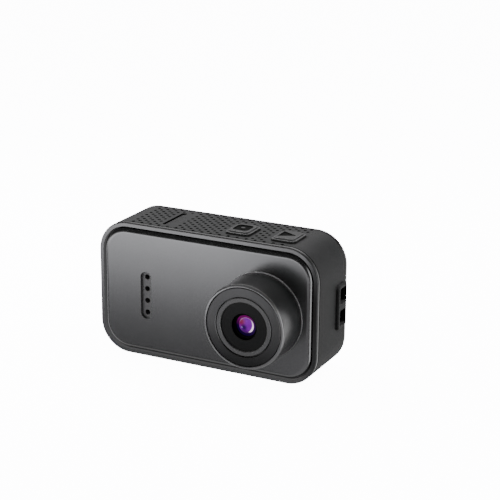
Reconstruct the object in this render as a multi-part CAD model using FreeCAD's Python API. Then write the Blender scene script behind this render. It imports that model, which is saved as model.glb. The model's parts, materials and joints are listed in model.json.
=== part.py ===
import FreeCAD, Part
import math
import os

# Small action camera with a fixed-focus lens, two top buttons, a memory card slot and a rear screen.
# Millimetres, +Z up. The lens looks along -Y, so X runs to the right as the front is seen.
# The origin is the mouth of the tripod socket: the middle of the flat base, z = 0.

Vector = FreeCAD.Vector

# ---- Driving dimensions -------------------------------------------------------------------------

# Body
BODY_W = 65.0            # across, along X
BODY_H = 37.3            # height, along Z
BODY_D = 18.8            # front rim plane to rear rim plane, along Y
CORNER_R = 8.7           # corner radius of the front outline
WALL = 1.5               # shell wall
LIP = 0.8                # thinned edge of the shell outside each rim's tongue
LAP_GAP = 0.05           # between the lip and the tongue
SEAM = 0.22              # bevel each side of the two parting lines

# Rims, front plate and rear glass
RIM_DEPTH = 1.2          # how far a rim shows along the body's side
FRONT_RIM_W = 1.2
REAR_RIM_W = 1.35
RIM_EDGE_R = 0.4
LEDGE_INSET = 3.0        # inner edge of the ledges, from the outline
LEDGE_T = 1.0
SEAL_T = 0.2             # adhesive between a ledge and its cover
PLATE_T = 1.9
PLATE_PROUD = 0.3
PLATE_GAP = 0.25
PLATE_EDGE_R = 1.5
GLASS_T = 1.1
GLASS_PROUD = 0.1
GLASS_GAP = 0.65
GLASS_BEVEL_W = 1.0
GLASS_BEVEL_H = 0.35
COVER_GAP = 0.1          # cover to the wall of its pocket, and adhesive to it

# Lens, on an axis along Y
LENS_X = 16.8
LENS_DROP = 0.6          # lens axis below the body's middle
BARREL_R = 11.4
BARREL_WALL = 1.2
BARREL_REACH = 10.9      # barrel front ahead of the front rim plane
BARREL_LIP_W = 0.7       # front edge outside the trim ring
BARREL_EDGE_R = 0.66
BARREL_FLANGE_W = 1.0
BARREL_FLANGE_T = 0.8
BARREL_WEB_T = 1.0       # web behind the trim ring
LENS_SEAL_T = 0.3
BASE_RING_W = 0.3
BASE_RING_H = 0.28
TRIM_T = 1.0
TRIM_SINK = 0.05
TRIM_GAP = 0.2
TRIM_EDGE = 0.12
INNER_RING_R = 7.8
INNER_RING_BORE_R = 6.62
INNER_RING_L = 2.4
INNER_RING_SINK = 0.1
INNER_RING_EDGE = 0.12
INNER_LEDGE_W = 0.5
BAFFLE_T = 0.8
BAFFLE_HOLE_R = 3.55
BAFFLE_SINK = 0.45       # baffle face below the inner ring's face
BAFFLE_STEP = 0.2        # two steps of this size round the hole
CELL_R = 6.0             # M12 lens cell
CELL_BORE_R = 4.6
CELL_LIP_R = 2.85
CELL_LIP_T = 0.6
CELL_GAP = 0.05          # baffle to cell
CELL_L = 14.3
DOME_R = 8.0             # curvature of the front element
DOME_LEAD = 0.4          # dome top ahead of the back of the cell lip
FRONT_LENS_T = 3.1
LENS_SPACER_L = 3.1
LENS_SPACER_W = 0.6
REAR_LENS_T = 4.0
REAR_LENS_DISH_R = 14.0
HOLDER_W = 16.0
HOLDER_BASE_T = 2.4
HOLDER_NECK_R = 7.4
HOLDER_NECK_L = 3.6
HOLDER_THREAD_L = 2.6
HOLDER_STOP_R = 4.2
HOLDER_CAVITY_W = 10.4
HOLDER_CAVITY_T = 1.3
HOLDER_EAR_W = 22.4
HOLDER_EAR_H = 4.4
HOLDER_EAR_T = 1.2
HOLDER_SCREW_OUT = 9.7
FILTER_W = 9.6
FILTER_T = 0.3
SENSOR_W = 8.6
SENSOR_H = 7.0
SENSOR_T = 0.7
SENSOR_BOARD_W = 23.0
SENSOR_BOARD_H = 18.0
SENSOR_BOARD_T = 1.0
SENSOR_STANDOFF = 0.6
SENSOR_BOARD_R = 1.0
SENSOR_FLEX_W = 8.0
SENSOR_FLEX_L = 2.6
SENSOR_FLEX_DROP = 1.15  # flex below the sensor board

# Microphone slot in the front plate
MIC_X = -17.9
MIC_DROP = 1.0
MIC_SLOT_W = 3.3
MIC_SLOT_H = 13.3
MIC_SINK = 0.8           # grille face below the plate's front
MIC_HOLE_R = 0.75
MIC_HOLE_PITCH = 3.34
MIC_HOLES = 4
MIC_FLANGE_W = 0.9
MIC_FLANGE_T = 0.6
MIC_MESH_T = 0.1
MIC_CAPSULE_W = 3.0
MIC_CAPSULE_H = 2.2
MIC_CAPSULE_T = 0.7
MIC_BOARD_T = 0.35

# Buttons on the top
RECORD_X = 7.4
POWER_X = 20.6
BUTTON_TO_RIM = 0.45     # button hole's side of the front rim's tongue
BUTTON_W = 6.9
BUTTON_L = 8.3
BUTTON_R = 1.3
BUTTON_RISE = 1.0
BUTTON_STEP_W = 0.6
BUTTON_STEP_H = 0.35
BUTTON_EDGE_R = 0.2
BUTTON_CROWN_R = 0.25
BUTTON_GAP = 0.12
BUTTON_TRAVEL = 0.5
BUTTON_FLANGE_W = 0.9
BUTTON_FLANGE_T = 0.7
BUTTON_REST_GAP = 0.02
ICON_DEPTH = 0.3
ICON_SQUARE_W = 4.5
ICON_SQUARE_L = 4.9
ICON_SQUARE_R = 1.1
ICON_DOT_R = 0.55
ICON_TRIANGLE_L = 4.4
ICON_TRIANGLE_W = 4.5
PLUNGER_R = 1.3
PLUNGER_GAP = 0.05
SWITCH_W = 3.5
SWITCH_H = 0.7
ACTUATOR_R = 0.9
ACTUATOR_H = 0.3
CARRIER_WALL = 0.5
CARRIER_GAP = 0.15
CARRIER_FLOOR = 0.4
PAD_T = 0.7
PAD_R = 0.8
BUTTON_BOARD_T = 0.8

# Memory card and its slot
CARD_X = -14.0
CARD_Y = -0.45
CARD_W = 11.0
CARD_L = 15.0
CARD_T = 0.7
CARD_RIDGE_T = 1.0
CARD_RIDGE_L = 1.4
CARD_RIDGE_INSET = 1.0
CARD_NOTCH_W = 1.2
CARD_NOTCH_L = 8.0
CARD_SINK = 0.3
CARD_PUSH = 0.8          # how far the card is pushed in to release it
CARD_GAP = 0.1
CARD_FLOOR_GAP = 0.35
SLOT_L = 11.6
SLOT_W = 1.5
SCOOP_R = 9.0            # nail scoop beside the slot, cut with a ball
SCOOP_DEPTH = 0.3
SCOOP_OUT = 1.2
READER_W = 3.4
READER_WALL = 0.55
READER_TOP_GAP = 0.25
CARD_BOARD_T = 0.8
CARD_BOARD_INSET = 0.4
CARD_BOARD_DROP = 1.0

# Grip pattern on the top
DOT_PITCH = 2.6
DOT_ROW = 1.16
DOT_ROWS = 14
DOT_COLUMNS = 18
DOT_R = 0.46
DOT_FLOOR_R = 0.32
DOT_DEPTH = 0.35
DOT_MARGIN = 1.0         # plain band round the buttons
SLOT_PLAIN_W = 4.6       # plain strip round the card slot
SLOT_PLAIN_L = 13.0

# Display
SCREEN_X = -0.8
SCREEN_DROP = 0.9
PANEL_W = 47.6
PANEL_H = 27.4
PANEL_R = 1.0
PANEL_T = 1.5
TRAY_BORDER = 0.4
TRAY_T = 0.8
TRAY_AIR = 0.8
DISPLAY_FLEX_W = 8.0
DISPLAY_FLEX_X = 13.0
DISPLAY_FLEX_L = 4.0
FLEX_T = 0.15

# Boards, frame and battery
SPREADER_T = 0.4
SPREADER_W = 20.0
SPREADER_H = 20.0
SPREADER_R = 1.5
SHIELD_W = 16.0
SHIELD_H = 16.0
SHIELD_T = 1.5
SHIELD_R = 0.8
SHIELD_X = 10.0
CHIP_W = 6.0
CHIP_H = 8.0
CHIP_T = 1.0
CHIP_GAP = 1.6
CHIP_DROP = 2.4
CONNECTOR_T = 1.0
CONNECTOR_H = 2.0
CONNECTOR_W = 5.0
CONNECTOR_MARGIN = 0.5    # connector beyond its flex at each end
CONNECTOR_OUT = 2.0       # battery connector from the battery's side and the board's middle
BOARD_T = 1.0
BOARD_INSET = 0.9        # board edge to the shell's inner wall
STANDOFF = 1.0
FRAME_T = 0.8
FRAME_INSET = 0.6
NOTCH_GAP = 0.6
BATTERY_T = 5.9
BATTERY_SIDE_GAP = 2.6
BATTERY_BASE_GAP = 2.5
BATTERY_RISE = 0.55      # battery top above the body's middle
BATTERY_R = 1.0
BATTERY_BOARD_T = 0.6
BATTERY_BOARD_D = 4.0
BATTERY_BOARD_INSET = 1.0
TRAY_WALL = 0.8
TRAY_WALL_D = 4.6
BOSS_R = 2.4
BOSS_L = 3.2
BOSS_BITE = 0.4          # how far a boss runs into the wall
SCREW_R = 0.7
SCREW_HEAD_R = 1.3
SCREW_HEAD_H = 0.6
SCREW_L = 2.8
SCREW_DRIVE_R = 0.55
SCREW_DRIVE_H = 0.4
BOARD_BOSS_R = 1.7
BOARD_SCREW_LEFT = 4.5   # from the shell's left wall
BOARD_SCREW_LOW = 4.6    # below the body's middle
BOARD_SCREW_RIGHT = 7.5  # from the shell's right wall
BOARD_SCREW_SPREAD = 9.3
BOARD_SCREW_CARD = 4.0   # from the card board
BOARD_SCREW_DROP = 6.8   # below the body's top

# Side features
USB_RISE = 6.0           # socket middle above the body's middle
USB_W = 8.94
USB_H = 3.2
USB_L = 7.3
USB_WALL = 0.3
USB_DEPTH = 6.2
USB_SINK = 0.3
USB_TONGUE_W = 6.7
USB_TONGUE_H = 0.7
USB_TONGUE_L = 4.5
PORT_GAP = 0.08
SPEAKER_T = 3.5
SPEAKER_W = 5.0
SPEAKER_H = 8.8
SPEAKER_R = 0.6
SPEAKER_Y = -3.8
SPEAKER_RISE = 6.35
SPEAKER_HOLE_R = 0.45
SPEAKER_HOLE_PITCH = 1.6
SPEAKER_HOLES = 4
ANTENNA_T = 0.2
ANTENNA_W = 7.0
ANTENNA_H = 10.0
ANTENNA_Y = -1.5
ANTENNA_DROP = 4.65      # below the body's middle
STRAP_PAD_W = 5.8        # along Y
STRAP_PAD_H = 12.5       # along Z
STRAP_PAD_R = 1.2
STRAP_PROUD = 0.7
STRAP_DROP = 0.2
STRAP_BLOCK_D = 6.0      # along X
STRAP_WINDOW = 4.28
STRAP_WINDOW_W = 4.2
STRAP_WINDOW_R = 0.7
STRAP_BAR = 1.75
STRAP_BAR_D = 2.5
STRAP_BACK_WALL = 1.0
STRAP_REAR_WALL = 0.4
STRAP_EDGE_R = 0.65

# Tripod socket, 1/4-20
SOCKET_R = 3.175
SOCKET_DEPTH = 5.0
INSERT_R = 4.5
INSERT_FLOOR = 0.5
SOCKET_BOSS_R = 5.3
SOCKET_BOSS_ROOF = 0.6

# Tools
CUT = 1.0                # how far a cutter runs past the face that it cuts
NEARLY_ROUND = 0.98      # a racetrack's end radius, against half its width

# ---- Planes and centres that follow from them ---------------------------------------------------

FRONT = -BODY_D / 2
REAR = BODY_D / 2
MID_Z = BODY_H / 2
LENS_Z = MID_Z - LENS_DROP
SHELL_FRONT = FRONT + RIM_DEPTH
SHELL_REAR = REAR - RIM_DEPTH
PLATE_FRONT = FRONT - PLATE_PROUD
PLATE_BACK = PLATE_FRONT + PLATE_T
FRONT_LEDGE = PLATE_BACK + SEAL_T
FRONT_TONGUE_END = FRONT_LEDGE + LEDGE_T
GLASS_REAR = REAR + GLASS_PROUD
GLASS_FRONT = GLASS_REAR - GLASS_T
REAR_LEDGE = GLASS_FRONT - SEAL_T
REAR_TONGUE_END = REAR_LEDGE - LEDGE_T
PLATE_INSET = FRONT_RIM_W + PLATE_GAP
GLASS_INSET = REAR_RIM_W + GLASS_GAP
TONGUE_INSET = LIP + LAP_GAP
INNER_LEFT = -BODY_W / 2 + WALL
INNER_RIGHT = BODY_W / 2 - WALL
INNER_TOP = BODY_H - WALL

PANEL_FRONT = GLASS_FRONT - PANEL_T
TRAY_FRONT = PANEL_FRONT - TRAY_T
SPREADER_FRONT = TRAY_FRONT - TRAY_AIR - SPREADER_T
BOARD_REAR = SPREADER_FRONT - SHIELD_T
BOARD_FRONT = BOARD_REAR - BOARD_T
FRAME_REAR = BOARD_FRONT - STANDOFF
FRAME_FRONT = FRAME_REAR - FRAME_T
SENSOR_BOARD_REAR = FRAME_FRONT - SENSOR_STANDOFF
SENSOR_BOARD_FRONT = SENSOR_BOARD_REAR - SENSOR_BOARD_T
SENSOR_FLEX_Z = LENS_Z - SENSOR_BOARD_H / 2 - SENSOR_FLEX_DROP
SCREEN_Z = MID_Z - SCREEN_DROP

BARREL_FRONT = FRONT - BARREL_REACH
TRIM_FRONT = BARREL_FRONT + TRIM_SINK
TRIM_BACK = TRIM_FRONT + TRIM_T
INNER_RING_FRONT = BARREL_FRONT + INNER_RING_SINK
BAFFLE_FRONT = INNER_RING_FRONT + BAFFLE_SINK
BAFFLE_BACK = BAFFLE_FRONT + BAFFLE_T
CELL_FRONT = BAFFLE_BACK + CELL_GAP
DOME_TOP = CELL_FRONT + CELL_LIP_T - DOME_LEAD
FRONT_LENS_BACK = DOME_TOP + FRONT_LENS_T
REAR_LENS_FRONT = FRONT_LENS_BACK + LENS_SPACER_L
HOLDER_REAR = SENSOR_BOARD_FRONT
HOLDER_BASE_FRONT = HOLDER_REAR - HOLDER_BASE_T
HOLDER_FRONT = HOLDER_BASE_FRONT - HOLDER_NECK_L

BUTTON_Y = FRONT_TONGUE_END + BUTTON_TO_RIM + BUTTON_L / 2
FLANGE_TOP = INNER_TOP - BUTTON_REST_GAP
FLANGE_BOTTOM = FLANGE_TOP - BUTTON_FLANGE_T
PAD_TOP = FLANGE_BOTTOM - BUTTON_TRAVEL - CARRIER_GAP
PAD_BOTTOM = PAD_TOP - PAD_T
CARRIER_FLOOR_BOTTOM = PAD_BOTTOM - CARRIER_FLOOR
BUTTON_BOARD_TOP = CARRIER_FLOOR_BOTTOM - SWITCH_H - PLUNGER_GAP
ACTUATOR_TOP = BUTTON_BOARD_TOP + SWITCH_H + ACTUATOR_H
PLUNGER_BOTTOM = ACTUATOR_TOP + BUTTON_TRAVEL + PLUNGER_GAP
CARRIER_HALF_L = BUTTON_L / 2 + CARRIER_GAP + CARRIER_WALL
CARRIER_HALF_W = BUTTON_W / 2 + BUTTON_FLANGE_W + CARRIER_GAP + CARRIER_WALL
CARRIER_LEFT = RECORD_X - CARRIER_HALF_W
CARRIER_RIGHT = POWER_X + CARRIER_HALF_W

CARD_TOP = BODY_H - CARD_SINK
CARD_BOTTOM = CARD_TOP - CARD_L
READER_FLOOR = CARD_BOTTOM - CARD_PUSH - CARD_FLOOR_GAP
READER_BOTTOM = READER_FLOOR - READER_WALL
READER_TOP = INNER_TOP - READER_TOP_GAP
READER_LEFT = CARD_X - READER_W / 2
READER_RIGHT = CARD_X + READER_W / 2
READER_HALF_L = CARD_W / 2 + CARD_GAP + READER_WALL
CARD_BOARD_RIGHT = READER_RIGHT + CARD_BOARD_T

STRAP_Z = MID_Z - STRAP_DROP
STRAP_OUT = BODY_W / 2 + STRAP_PROUD
STRAP_IN = STRAP_OUT - STRAP_BLOCK_D
STRAP_REAR = REAR_LEDGE
STRAP_WINDOW_Y = STRAP_REAR - STRAP_REAR_WALL - STRAP_WINDOW_W / 2
USB_Z = MID_Z + USB_RISE
USB_Y = BOARD_FRONT - USB_H / 2
SPEAKER_Z = MID_Z + SPEAKER_RISE
ANTENNA_Z = MID_Z - ANTENNA_DROP
SOCKET_BOSS_TOP = SOCKET_DEPTH + INSERT_FLOOR + SOCKET_BOSS_ROOF
BATTERY_TOP = MID_Z + BATTERY_RISE
BATTERY_LEFT = INNER_LEFT + BATTERY_SIDE_GAP
BATTERY_RIGHT = -SOCKET_BOSS_R - TRAY_WALL - 2 * COVER_GAP
BATTERY_REAR = FRAME_FRONT - SCREW_HEAD_H - COVER_GAP


def screw_places():
    """X and Z of the four housing screws: three in corners, one below the button board."""
    reach = (CORNER_R - WALL - BOSS_R + BOSS_BITE) * math.sqrt(0.5)
    corner_x = BODY_W / 2 - CORNER_R + reach
    low = CORNER_R - reach
    side = INNER_RIGHT - BOSS_R + BOSS_BITE
    return [(-corner_x, low), (corner_x, low), (-corner_x, BODY_H - low), (side, BODY_H - CORNER_R)]


def board_screw_places():
    """X and Z of the four screws that hold the main board to the frame."""
    right = INNER_RIGHT - BOARD_SCREW_RIGHT
    return [(INNER_LEFT + BOARD_SCREW_LEFT, MID_Z - BOARD_SCREW_LOW), (right, MID_Z - BOARD_SCREW_SPREAD),
            (right, MID_Z + BOARD_SCREW_SPREAD),
            (CARD_BOARD_RIGHT + BOARD_SCREW_CARD, BODY_H - BOARD_SCREW_DROP)]


# ---- Building blocks ----------------------------------------------------------------------------


def box(x0, x1, y0, y1, z0, z1):
    return Part.makeBox(x1 - x0, y1 - y0, z1 - z0, Vector(x0, y0, z0))


def edges_along(shape, axis):
    """The straight edges of a shape that run along X, Y or Z."""
    wanted = {"X": Vector(1, 0, 0), "Y": Vector(0, 1, 0), "Z": Vector(0, 0, 1)}[axis]
    straight = [e for e in shape.Edges if isinstance(e.Curve, (Part.Line, Part.LineSegment))]
    return [e for e in straight if abs(e.tangentAt(e.FirstParameter).dot(wanted)) > 0.999]


def edges_at(shape, axis, value):
    """The edges that lie wholly in the plane where X, Y or Z has this value."""
    low = {"X": "XMin", "Y": "YMin", "Z": "ZMin"}[axis]
    high = {"X": "XMax", "Y": "YMax", "Z": "ZMax"}[axis]
    near = 1e-4
    return [e for e in shape.Edges
            if abs(getattr(e.BoundBox, low) - value) < near and abs(getattr(e.BoundBox, high) - value) < near]


def rounded_box(x0, x1, y0, y1, z0, z1, radius, axis):
    """A box whose four edges along one axis are rounded."""
    block = box(x0, x1, y0, y1, z0, z1)
    return block.makeFillet(radius, edges_along(block, axis))


def slab(inset, y0, y1):
    """The body's front outline, drawn in by inset all round, from y0 to y1."""
    half = BODY_W / 2 - inset
    return rounded_box(-half, half, y0, y1, inset, BODY_H - inset, CORNER_R - inset, "Y")


def ring(outer_inset, inner_inset, y0, y1):
    """A frame that follows the outline, between two insets."""
    return slab(outer_inset, y0, y1).cut(slab(inner_inset, y0, y1))


def disc(x, z, radius, y0, y1):
    return Part.makeCylinder(radius, y1 - y0, Vector(x, y0, z), Vector(0, 1, 0))


def post(x, y, radius, z0, z1):
    return Part.makeCylinder(radius, z1 - z0, Vector(x, y, z0), Vector(0, 0, 1))


def lens_disc(radius, y0, y1):
    return disc(LENS_X, LENS_Z, radius, y0, y1)


def lens_tube(outer_r, inner_r, y0, y1):
    return lens_disc(outer_r, y0, y1).cut(lens_disc(inner_r, y0, y1))


def revolved(profile):
    """A solid turned about the lens axis from (radius, y) corners."""
    corners = [Vector(LENS_X + r, y, LENS_Z) for r, y in profile]
    face = Part.Face(Part.makePolygon(corners + corners[:1]))
    return face.revolve(Vector(LENS_X, 0, LENS_Z), Vector(0, 1, 0), 360)


def screw(x, z, seat, toward_rear):
    """A pan-head screw along Y: its head rests on the plane y = seat, its shank goes on from there."""
    way = 1 if toward_rear else -1
    ends = sorted((seat - way * SCREW_HEAD_H, seat))
    shank = sorted((seat, seat + way * SCREW_L))
    drive = sorted((seat - way * SCREW_HEAD_H, seat - way * (SCREW_HEAD_H - SCREW_DRIVE_H)))
    solid = disc(x, z, SCREW_HEAD_R, *ends).fuse(disc(x, z, SCREW_R, *shank))
    hexagon = [Vector(x + SCREW_DRIVE_R * math.cos(k * math.pi / 3), drive[0],
                      z + SCREW_DRIVE_R * math.sin(k * math.pi / 3)) for k in range(6)]
    socket = Part.Face(Part.makePolygon(hexagon + hexagon[:1])).extrude(Vector(0, SCREW_DRIVE_H, 0))
    return solid.cut(socket)


# ---- Shell and rims -----------------------------------------------------------------------------


def button_hole(x):
    """The hole in the top wall that a button passes through."""
    half_w, half_l = BUTTON_W / 2 + BUTTON_GAP, BUTTON_L / 2 + BUTTON_GAP
    return rounded_box(x - half_w, x + half_w, BUTTON_Y - half_l, BUTTON_Y + half_l,
                       INNER_TOP - WALL, BODY_H + CUT, BUTTON_R + BUTTON_GAP, "Z")


def card_slot():
    """The slot for the card, with the scoop that lets a finger nail push it in."""
    slot = rounded_box(CARD_X - SLOT_W / 2, CARD_X + SLOT_W / 2, CARD_Y - SLOT_L / 2, CARD_Y + SLOT_L / 2,
                       INNER_TOP - WALL, BODY_H + CUT, SLOT_W / 3, "Z")
    ball = Part.makeSphere(SCOOP_R, Vector(CARD_X + SCOOP_OUT, CARD_Y, BODY_H + SCOOP_R - SCOOP_DEPTH))
    side = box(CARD_X, CARD_X + SCOOP_R, CARD_Y - SCOOP_R, CARD_Y + SCOOP_R, INNER_TOP, BODY_H + CUT)
    return slot.fuse(ball.common(side))


def in_plain_area(x, y):
    """True where the top has no dimples: round the buttons and the card slot."""
    for centre in (RECORD_X, POWER_X):
        near_x = abs(x - centre) < BUTTON_W / 2 + DOT_MARGIN
        if near_x and abs(y - BUTTON_Y) < BUTTON_L / 2 + DOT_MARGIN:
            return True
    return abs(x - CARD_X - SLOT_W / 2) < SLOT_PLAIN_W / 2 and abs(y - CARD_Y) < SLOT_PLAIN_L / 2


def grip_dimples():
    """Staggered rows of shallow dimples over the flat part of the top."""
    dimples = []
    for row in range(DOT_ROWS):
        y = (row - (DOT_ROWS - 1) / 2) * DOT_ROW
        shift = DOT_PITCH / 2 * (row % 2) - DOT_PITCH / 4
        for column in range(DOT_COLUMNS):
            x = (column - (DOT_COLUMNS - 1) / 2) * DOT_PITCH + shift
            if in_plain_area(x, y) or abs(x) > BODY_W / 2 - CORNER_R - DOT_R:
                continue
            dimples.append(Part.makeCone(DOT_FLOOR_R, DOT_R, DOT_DEPTH, Vector(x, y, BODY_H - DOT_DEPTH)))
    return Part.makeCompound(dimples)


def strap_block(x0, x1):
    """The strap anchor's outline, rounded along X."""
    half = STRAP_PAD_H / 2
    return rounded_box(x0, x1, STRAP_REAR - STRAP_PAD_W, STRAP_REAR, STRAP_Z - half, STRAP_Z + half,
                       STRAP_PAD_R, "X")


def usb_outline(x0, x1, grow):
    """The socket's racetrack outline, rounded along X and grown all round."""
    half_y, half_z = USB_H / 2 + grow, USB_W / 2 + grow
    return rounded_box(x0, x1, USB_Y - half_y, USB_Y + half_y, USB_Z - half_z, USB_Z + half_z,
                       half_y * NEARLY_ROUND, "X")


def speaker_holes():
    """A column of sound holes through the left wall."""
    holes = []
    for k in range(SPEAKER_HOLES):
        z = SPEAKER_Z + (k - (SPEAKER_HOLES - 1) / 2) * SPEAKER_HOLE_PITCH
        holes.append(Part.makeCylinder(SPEAKER_HOLE_R, 2 * WALL, Vector(-BODY_W / 2 - WALL / 2, SPEAKER_Y, z),
                                       Vector(1, 0, 0)))
    return holes


def main_shell():
    shell = slab(0, SHELL_FRONT, SHELL_REAR)
    ends = edges_at(shell, "Y", SHELL_FRONT) + edges_at(shell, "Y", SHELL_REAR)
    shell = shell.makeChamfer(SEAM, ends).cut(slab(WALL, SHELL_FRONT, SHELL_REAR))
    shell = shell.cut(slab(LIP, SHELL_FRONT, FRONT_TONGUE_END)).cut(slab(LIP, REAR_TONGUE_END, SHELL_REAR))
    inside = slab(WALL / 2, FRAME_REAR, FRAME_REAR + BOSS_L)
    for x, z in screw_places():
        boss = disc(x, z, BOSS_R, FRAME_REAR, FRAME_REAR + BOSS_L).common(inside)
        shell = shell.fuse(boss).cut(disc(x, z, SCREW_R, FRAME_REAR, FRAME_REAR + SCREW_L - FRAME_T))
    shell = shell.fuse(post(0, 0, SOCKET_BOSS_R, 0, SOCKET_BOSS_TOP))
    shell = shell.cut(post(0, 0, INSERT_R, -CUT, SOCKET_DEPTH + INSERT_FLOOR))
    cutters = [button_hole(RECORD_X), button_hole(POWER_X), card_slot(), strap_block(STRAP_IN, STRAP_OUT),
               usb_outline(-BODY_W / 2 - WALL, INNER_LEFT + WALL, PORT_GAP)] + speaker_holes()
    for cutter in cutters:
        shell = shell.cut(cutter)
    return shell.cut(grip_dimples()).removeSplitter()


def front_rim():
    face = slab(0, FRONT, SHELL_FRONT)
    face = face.makeFillet(RIM_EDGE_R, edges_at(face, "Y", FRONT))
    face = face.makeChamfer(SEAM, edges_at(face, "Y", SHELL_FRONT))
    face = face.cut(slab(FRONT_RIM_W, FRONT, SHELL_FRONT))
    wall = ring(TONGUE_INSET, PLATE_INSET - COVER_GAP, SHELL_FRONT, FRONT_LEDGE)
    return face.fuse([wall, ring(TONGUE_INSET, LEDGE_INSET, FRONT_LEDGE, FRONT_TONGUE_END)]).removeSplitter()


def rear_rim():
    face = slab(0, SHELL_REAR, REAR)
    face = face.makeFillet(RIM_EDGE_R, edges_at(face, "Y", REAR))
    face = face.makeChamfer(SEAM, edges_at(face, "Y", SHELL_REAR))
    face = face.cut(slab(REAR_RIM_W, SHELL_REAR, REAR))
    tongue = ring(TONGUE_INSET, LEDGE_INSET, REAR_TONGUE_END, SHELL_REAR)
    gap = box(STRAP_IN, STRAP_OUT, STRAP_REAR - STRAP_PAD_W, STRAP_REAR,
              STRAP_Z - STRAP_PAD_H / 2, STRAP_Z + STRAP_PAD_H / 2)
    return face.fuse(tongue.cut(gap)).removeSplitter()


def mic_slot(grow, y0, y1):
    half_w, half_h = MIC_SLOT_W / 2 + grow, MIC_SLOT_H / 2 + grow
    z = MID_Z - MIC_DROP
    radius = half_w * NEARLY_ROUND
    return rounded_box(MIC_X - half_w, MIC_X + half_w, y0, y1, z - half_h, z + half_h, radius, "Y")


def front_plate():
    plate = slab(PLATE_INSET, PLATE_FRONT, PLATE_BACK)
    plate = plate.makeFillet(PLATE_EDGE_R, edges_at(plate, "Y", PLATE_FRONT))
    lens_hole = lens_disc(BARREL_R + LAP_GAP, PLATE_FRONT, PLATE_BACK)
    return plate.cut([lens_hole, mic_slot(0, PLATE_FRONT, PLATE_BACK)])


def front_gasket():
    return ring(PLATE_INSET + COVER_GAP, LEDGE_INSET, PLATE_BACK, FRONT_LEDGE)


def outline_at(shape, y):
    """The outline of the face that lies in the plane at y."""
    return next(f for f in shape.Faces if abs(f.CenterOfMass.y - y) < 1e-4).OuterWire


def rear_glass():
    shoulder = GLASS_REAR - GLASS_BEVEL_H
    foot = outline_at(slab(GLASS_INSET, shoulder, GLASS_REAR), shoulder)
    crest = outline_at(slab(GLASS_INSET + GLASS_BEVEL_W, shoulder, GLASS_REAR), GLASS_REAR)
    bevel = Part.makeLoft([foot, crest], True, True)
    return slab(GLASS_INSET, GLASS_FRONT, shoulder).fuse(bevel).removeSplitter()


def rear_adhesive():
    return ring(GLASS_INSET + COVER_GAP, LEDGE_INSET, REAR_LEDGE, GLASS_FRONT)


# ---- Microphone ---------------------------------------------------------------------------------


def mic_hole_heights():
    return [MID_Z - MIC_DROP + (k - (MIC_HOLES - 1) / 2) * MIC_HOLE_PITCH for k in range(MIC_HOLES)]


def microphone_grille():
    body = mic_slot(0, PLATE_FRONT + MIC_SINK, PLATE_BACK)
    body = body.fuse(mic_slot(MIC_FLANGE_W, PLATE_BACK, PLATE_BACK + MIC_FLANGE_T))
    holes = [disc(MIC_X, z, MIC_HOLE_R, PLATE_FRONT, PLATE_BACK + MIC_FLANGE_T) for z in mic_hole_heights()]
    return body.cut(holes)


def microphone_mesh():
    back = PLATE_BACK + MIC_FLANGE_T
    return mic_slot(0, back, back + MIC_MESH_T)


def microphone_capsules():
    front = PLATE_BACK + MIC_FLANGE_T + MIC_MESH_T
    heights = mic_hole_heights()
    return Part.makeCompound([
        box(MIC_X - MIC_CAPSULE_W / 2, MIC_X + MIC_CAPSULE_W / 2, front, front + MIC_CAPSULE_T,
            z - MIC_CAPSULE_H / 2, z + MIC_CAPSULE_H / 2) for z in (heights[0], heights[-1])])


def microphone_board():
    front = PLATE_BACK + MIC_FLANGE_T + MIC_MESH_T + MIC_CAPSULE_T
    return mic_slot(0, front, front + MIC_BOARD_T)


# ---- Lens ---------------------------------------------------------------------------------------


def lens_barrel():
    bore = BARREL_R - BARREL_WALL
    lip = BARREL_R - BARREL_LIP_W
    flange_front = PLATE_BACK + LENS_SEAL_T
    flange_back = flange_front + BARREL_FLANGE_T
    web_back = TRIM_BACK + BARREL_WEB_T
    barrel = revolved([
        (lip, BARREL_FRONT), (BARREL_R, BARREL_FRONT), (BARREL_R, flange_front),
        (BARREL_R + BARREL_FLANGE_W, flange_front), (BARREL_R + BARREL_FLANGE_W, flange_back),
        (bore, flange_back), (bore, web_back), (INNER_RING_R, web_back), (INNER_RING_R, TRIM_BACK),
        (lip, TRIM_BACK)])
    outer_edge = [e for e in edges_at(barrel, "Y", BARREL_FRONT) if abs(e.Curve.Radius - BARREL_R) < 1e-4]
    return barrel.makeFillet(BARREL_EDGE_R, outer_edge)


def lens_trim_ring():
    trim = lens_tube(BARREL_R - BARREL_LIP_W - TRIM_GAP, INNER_RING_R + TRIM_GAP, TRIM_FRONT, TRIM_BACK)
    return trim.makeChamfer(TRIM_EDGE, edges_at(trim, "Y", TRIM_FRONT))


def lens_inner_ring():
    edge = INNER_RING_FRONT + INNER_RING_EDGE
    back = INNER_RING_FRONT + INNER_RING_L
    return revolved([
        (INNER_RING_BORE_R + INNER_RING_EDGE, INNER_RING_FRONT),
        (INNER_RING_R - INNER_RING_EDGE, INNER_RING_FRONT),
        (INNER_RING_R, edge), (INNER_RING_R, back), (INNER_RING_BORE_R - INNER_LEDGE_W, back),
        (INNER_RING_BORE_R - INNER_LEDGE_W, BAFFLE_BACK), (INNER_RING_BORE_R, BAFFLE_BACK),
        (INNER_RING_BORE_R, edge)])


def lens_baffle():
    throat = BAFFLE_HOLE_R - BAFFLE_STEP
    return revolved([
        (BAFFLE_HOLE_R, BAFFLE_FRONT), (INNER_RING_BORE_R, BAFFLE_FRONT), (INNER_RING_BORE_R, BAFFLE_BACK),
        (throat, BAFFLE_BACK), (throat, BAFFLE_BACK - BAFFLE_STEP),
        (BAFFLE_HOLE_R, BAFFLE_FRONT + BAFFLE_STEP)])


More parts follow.
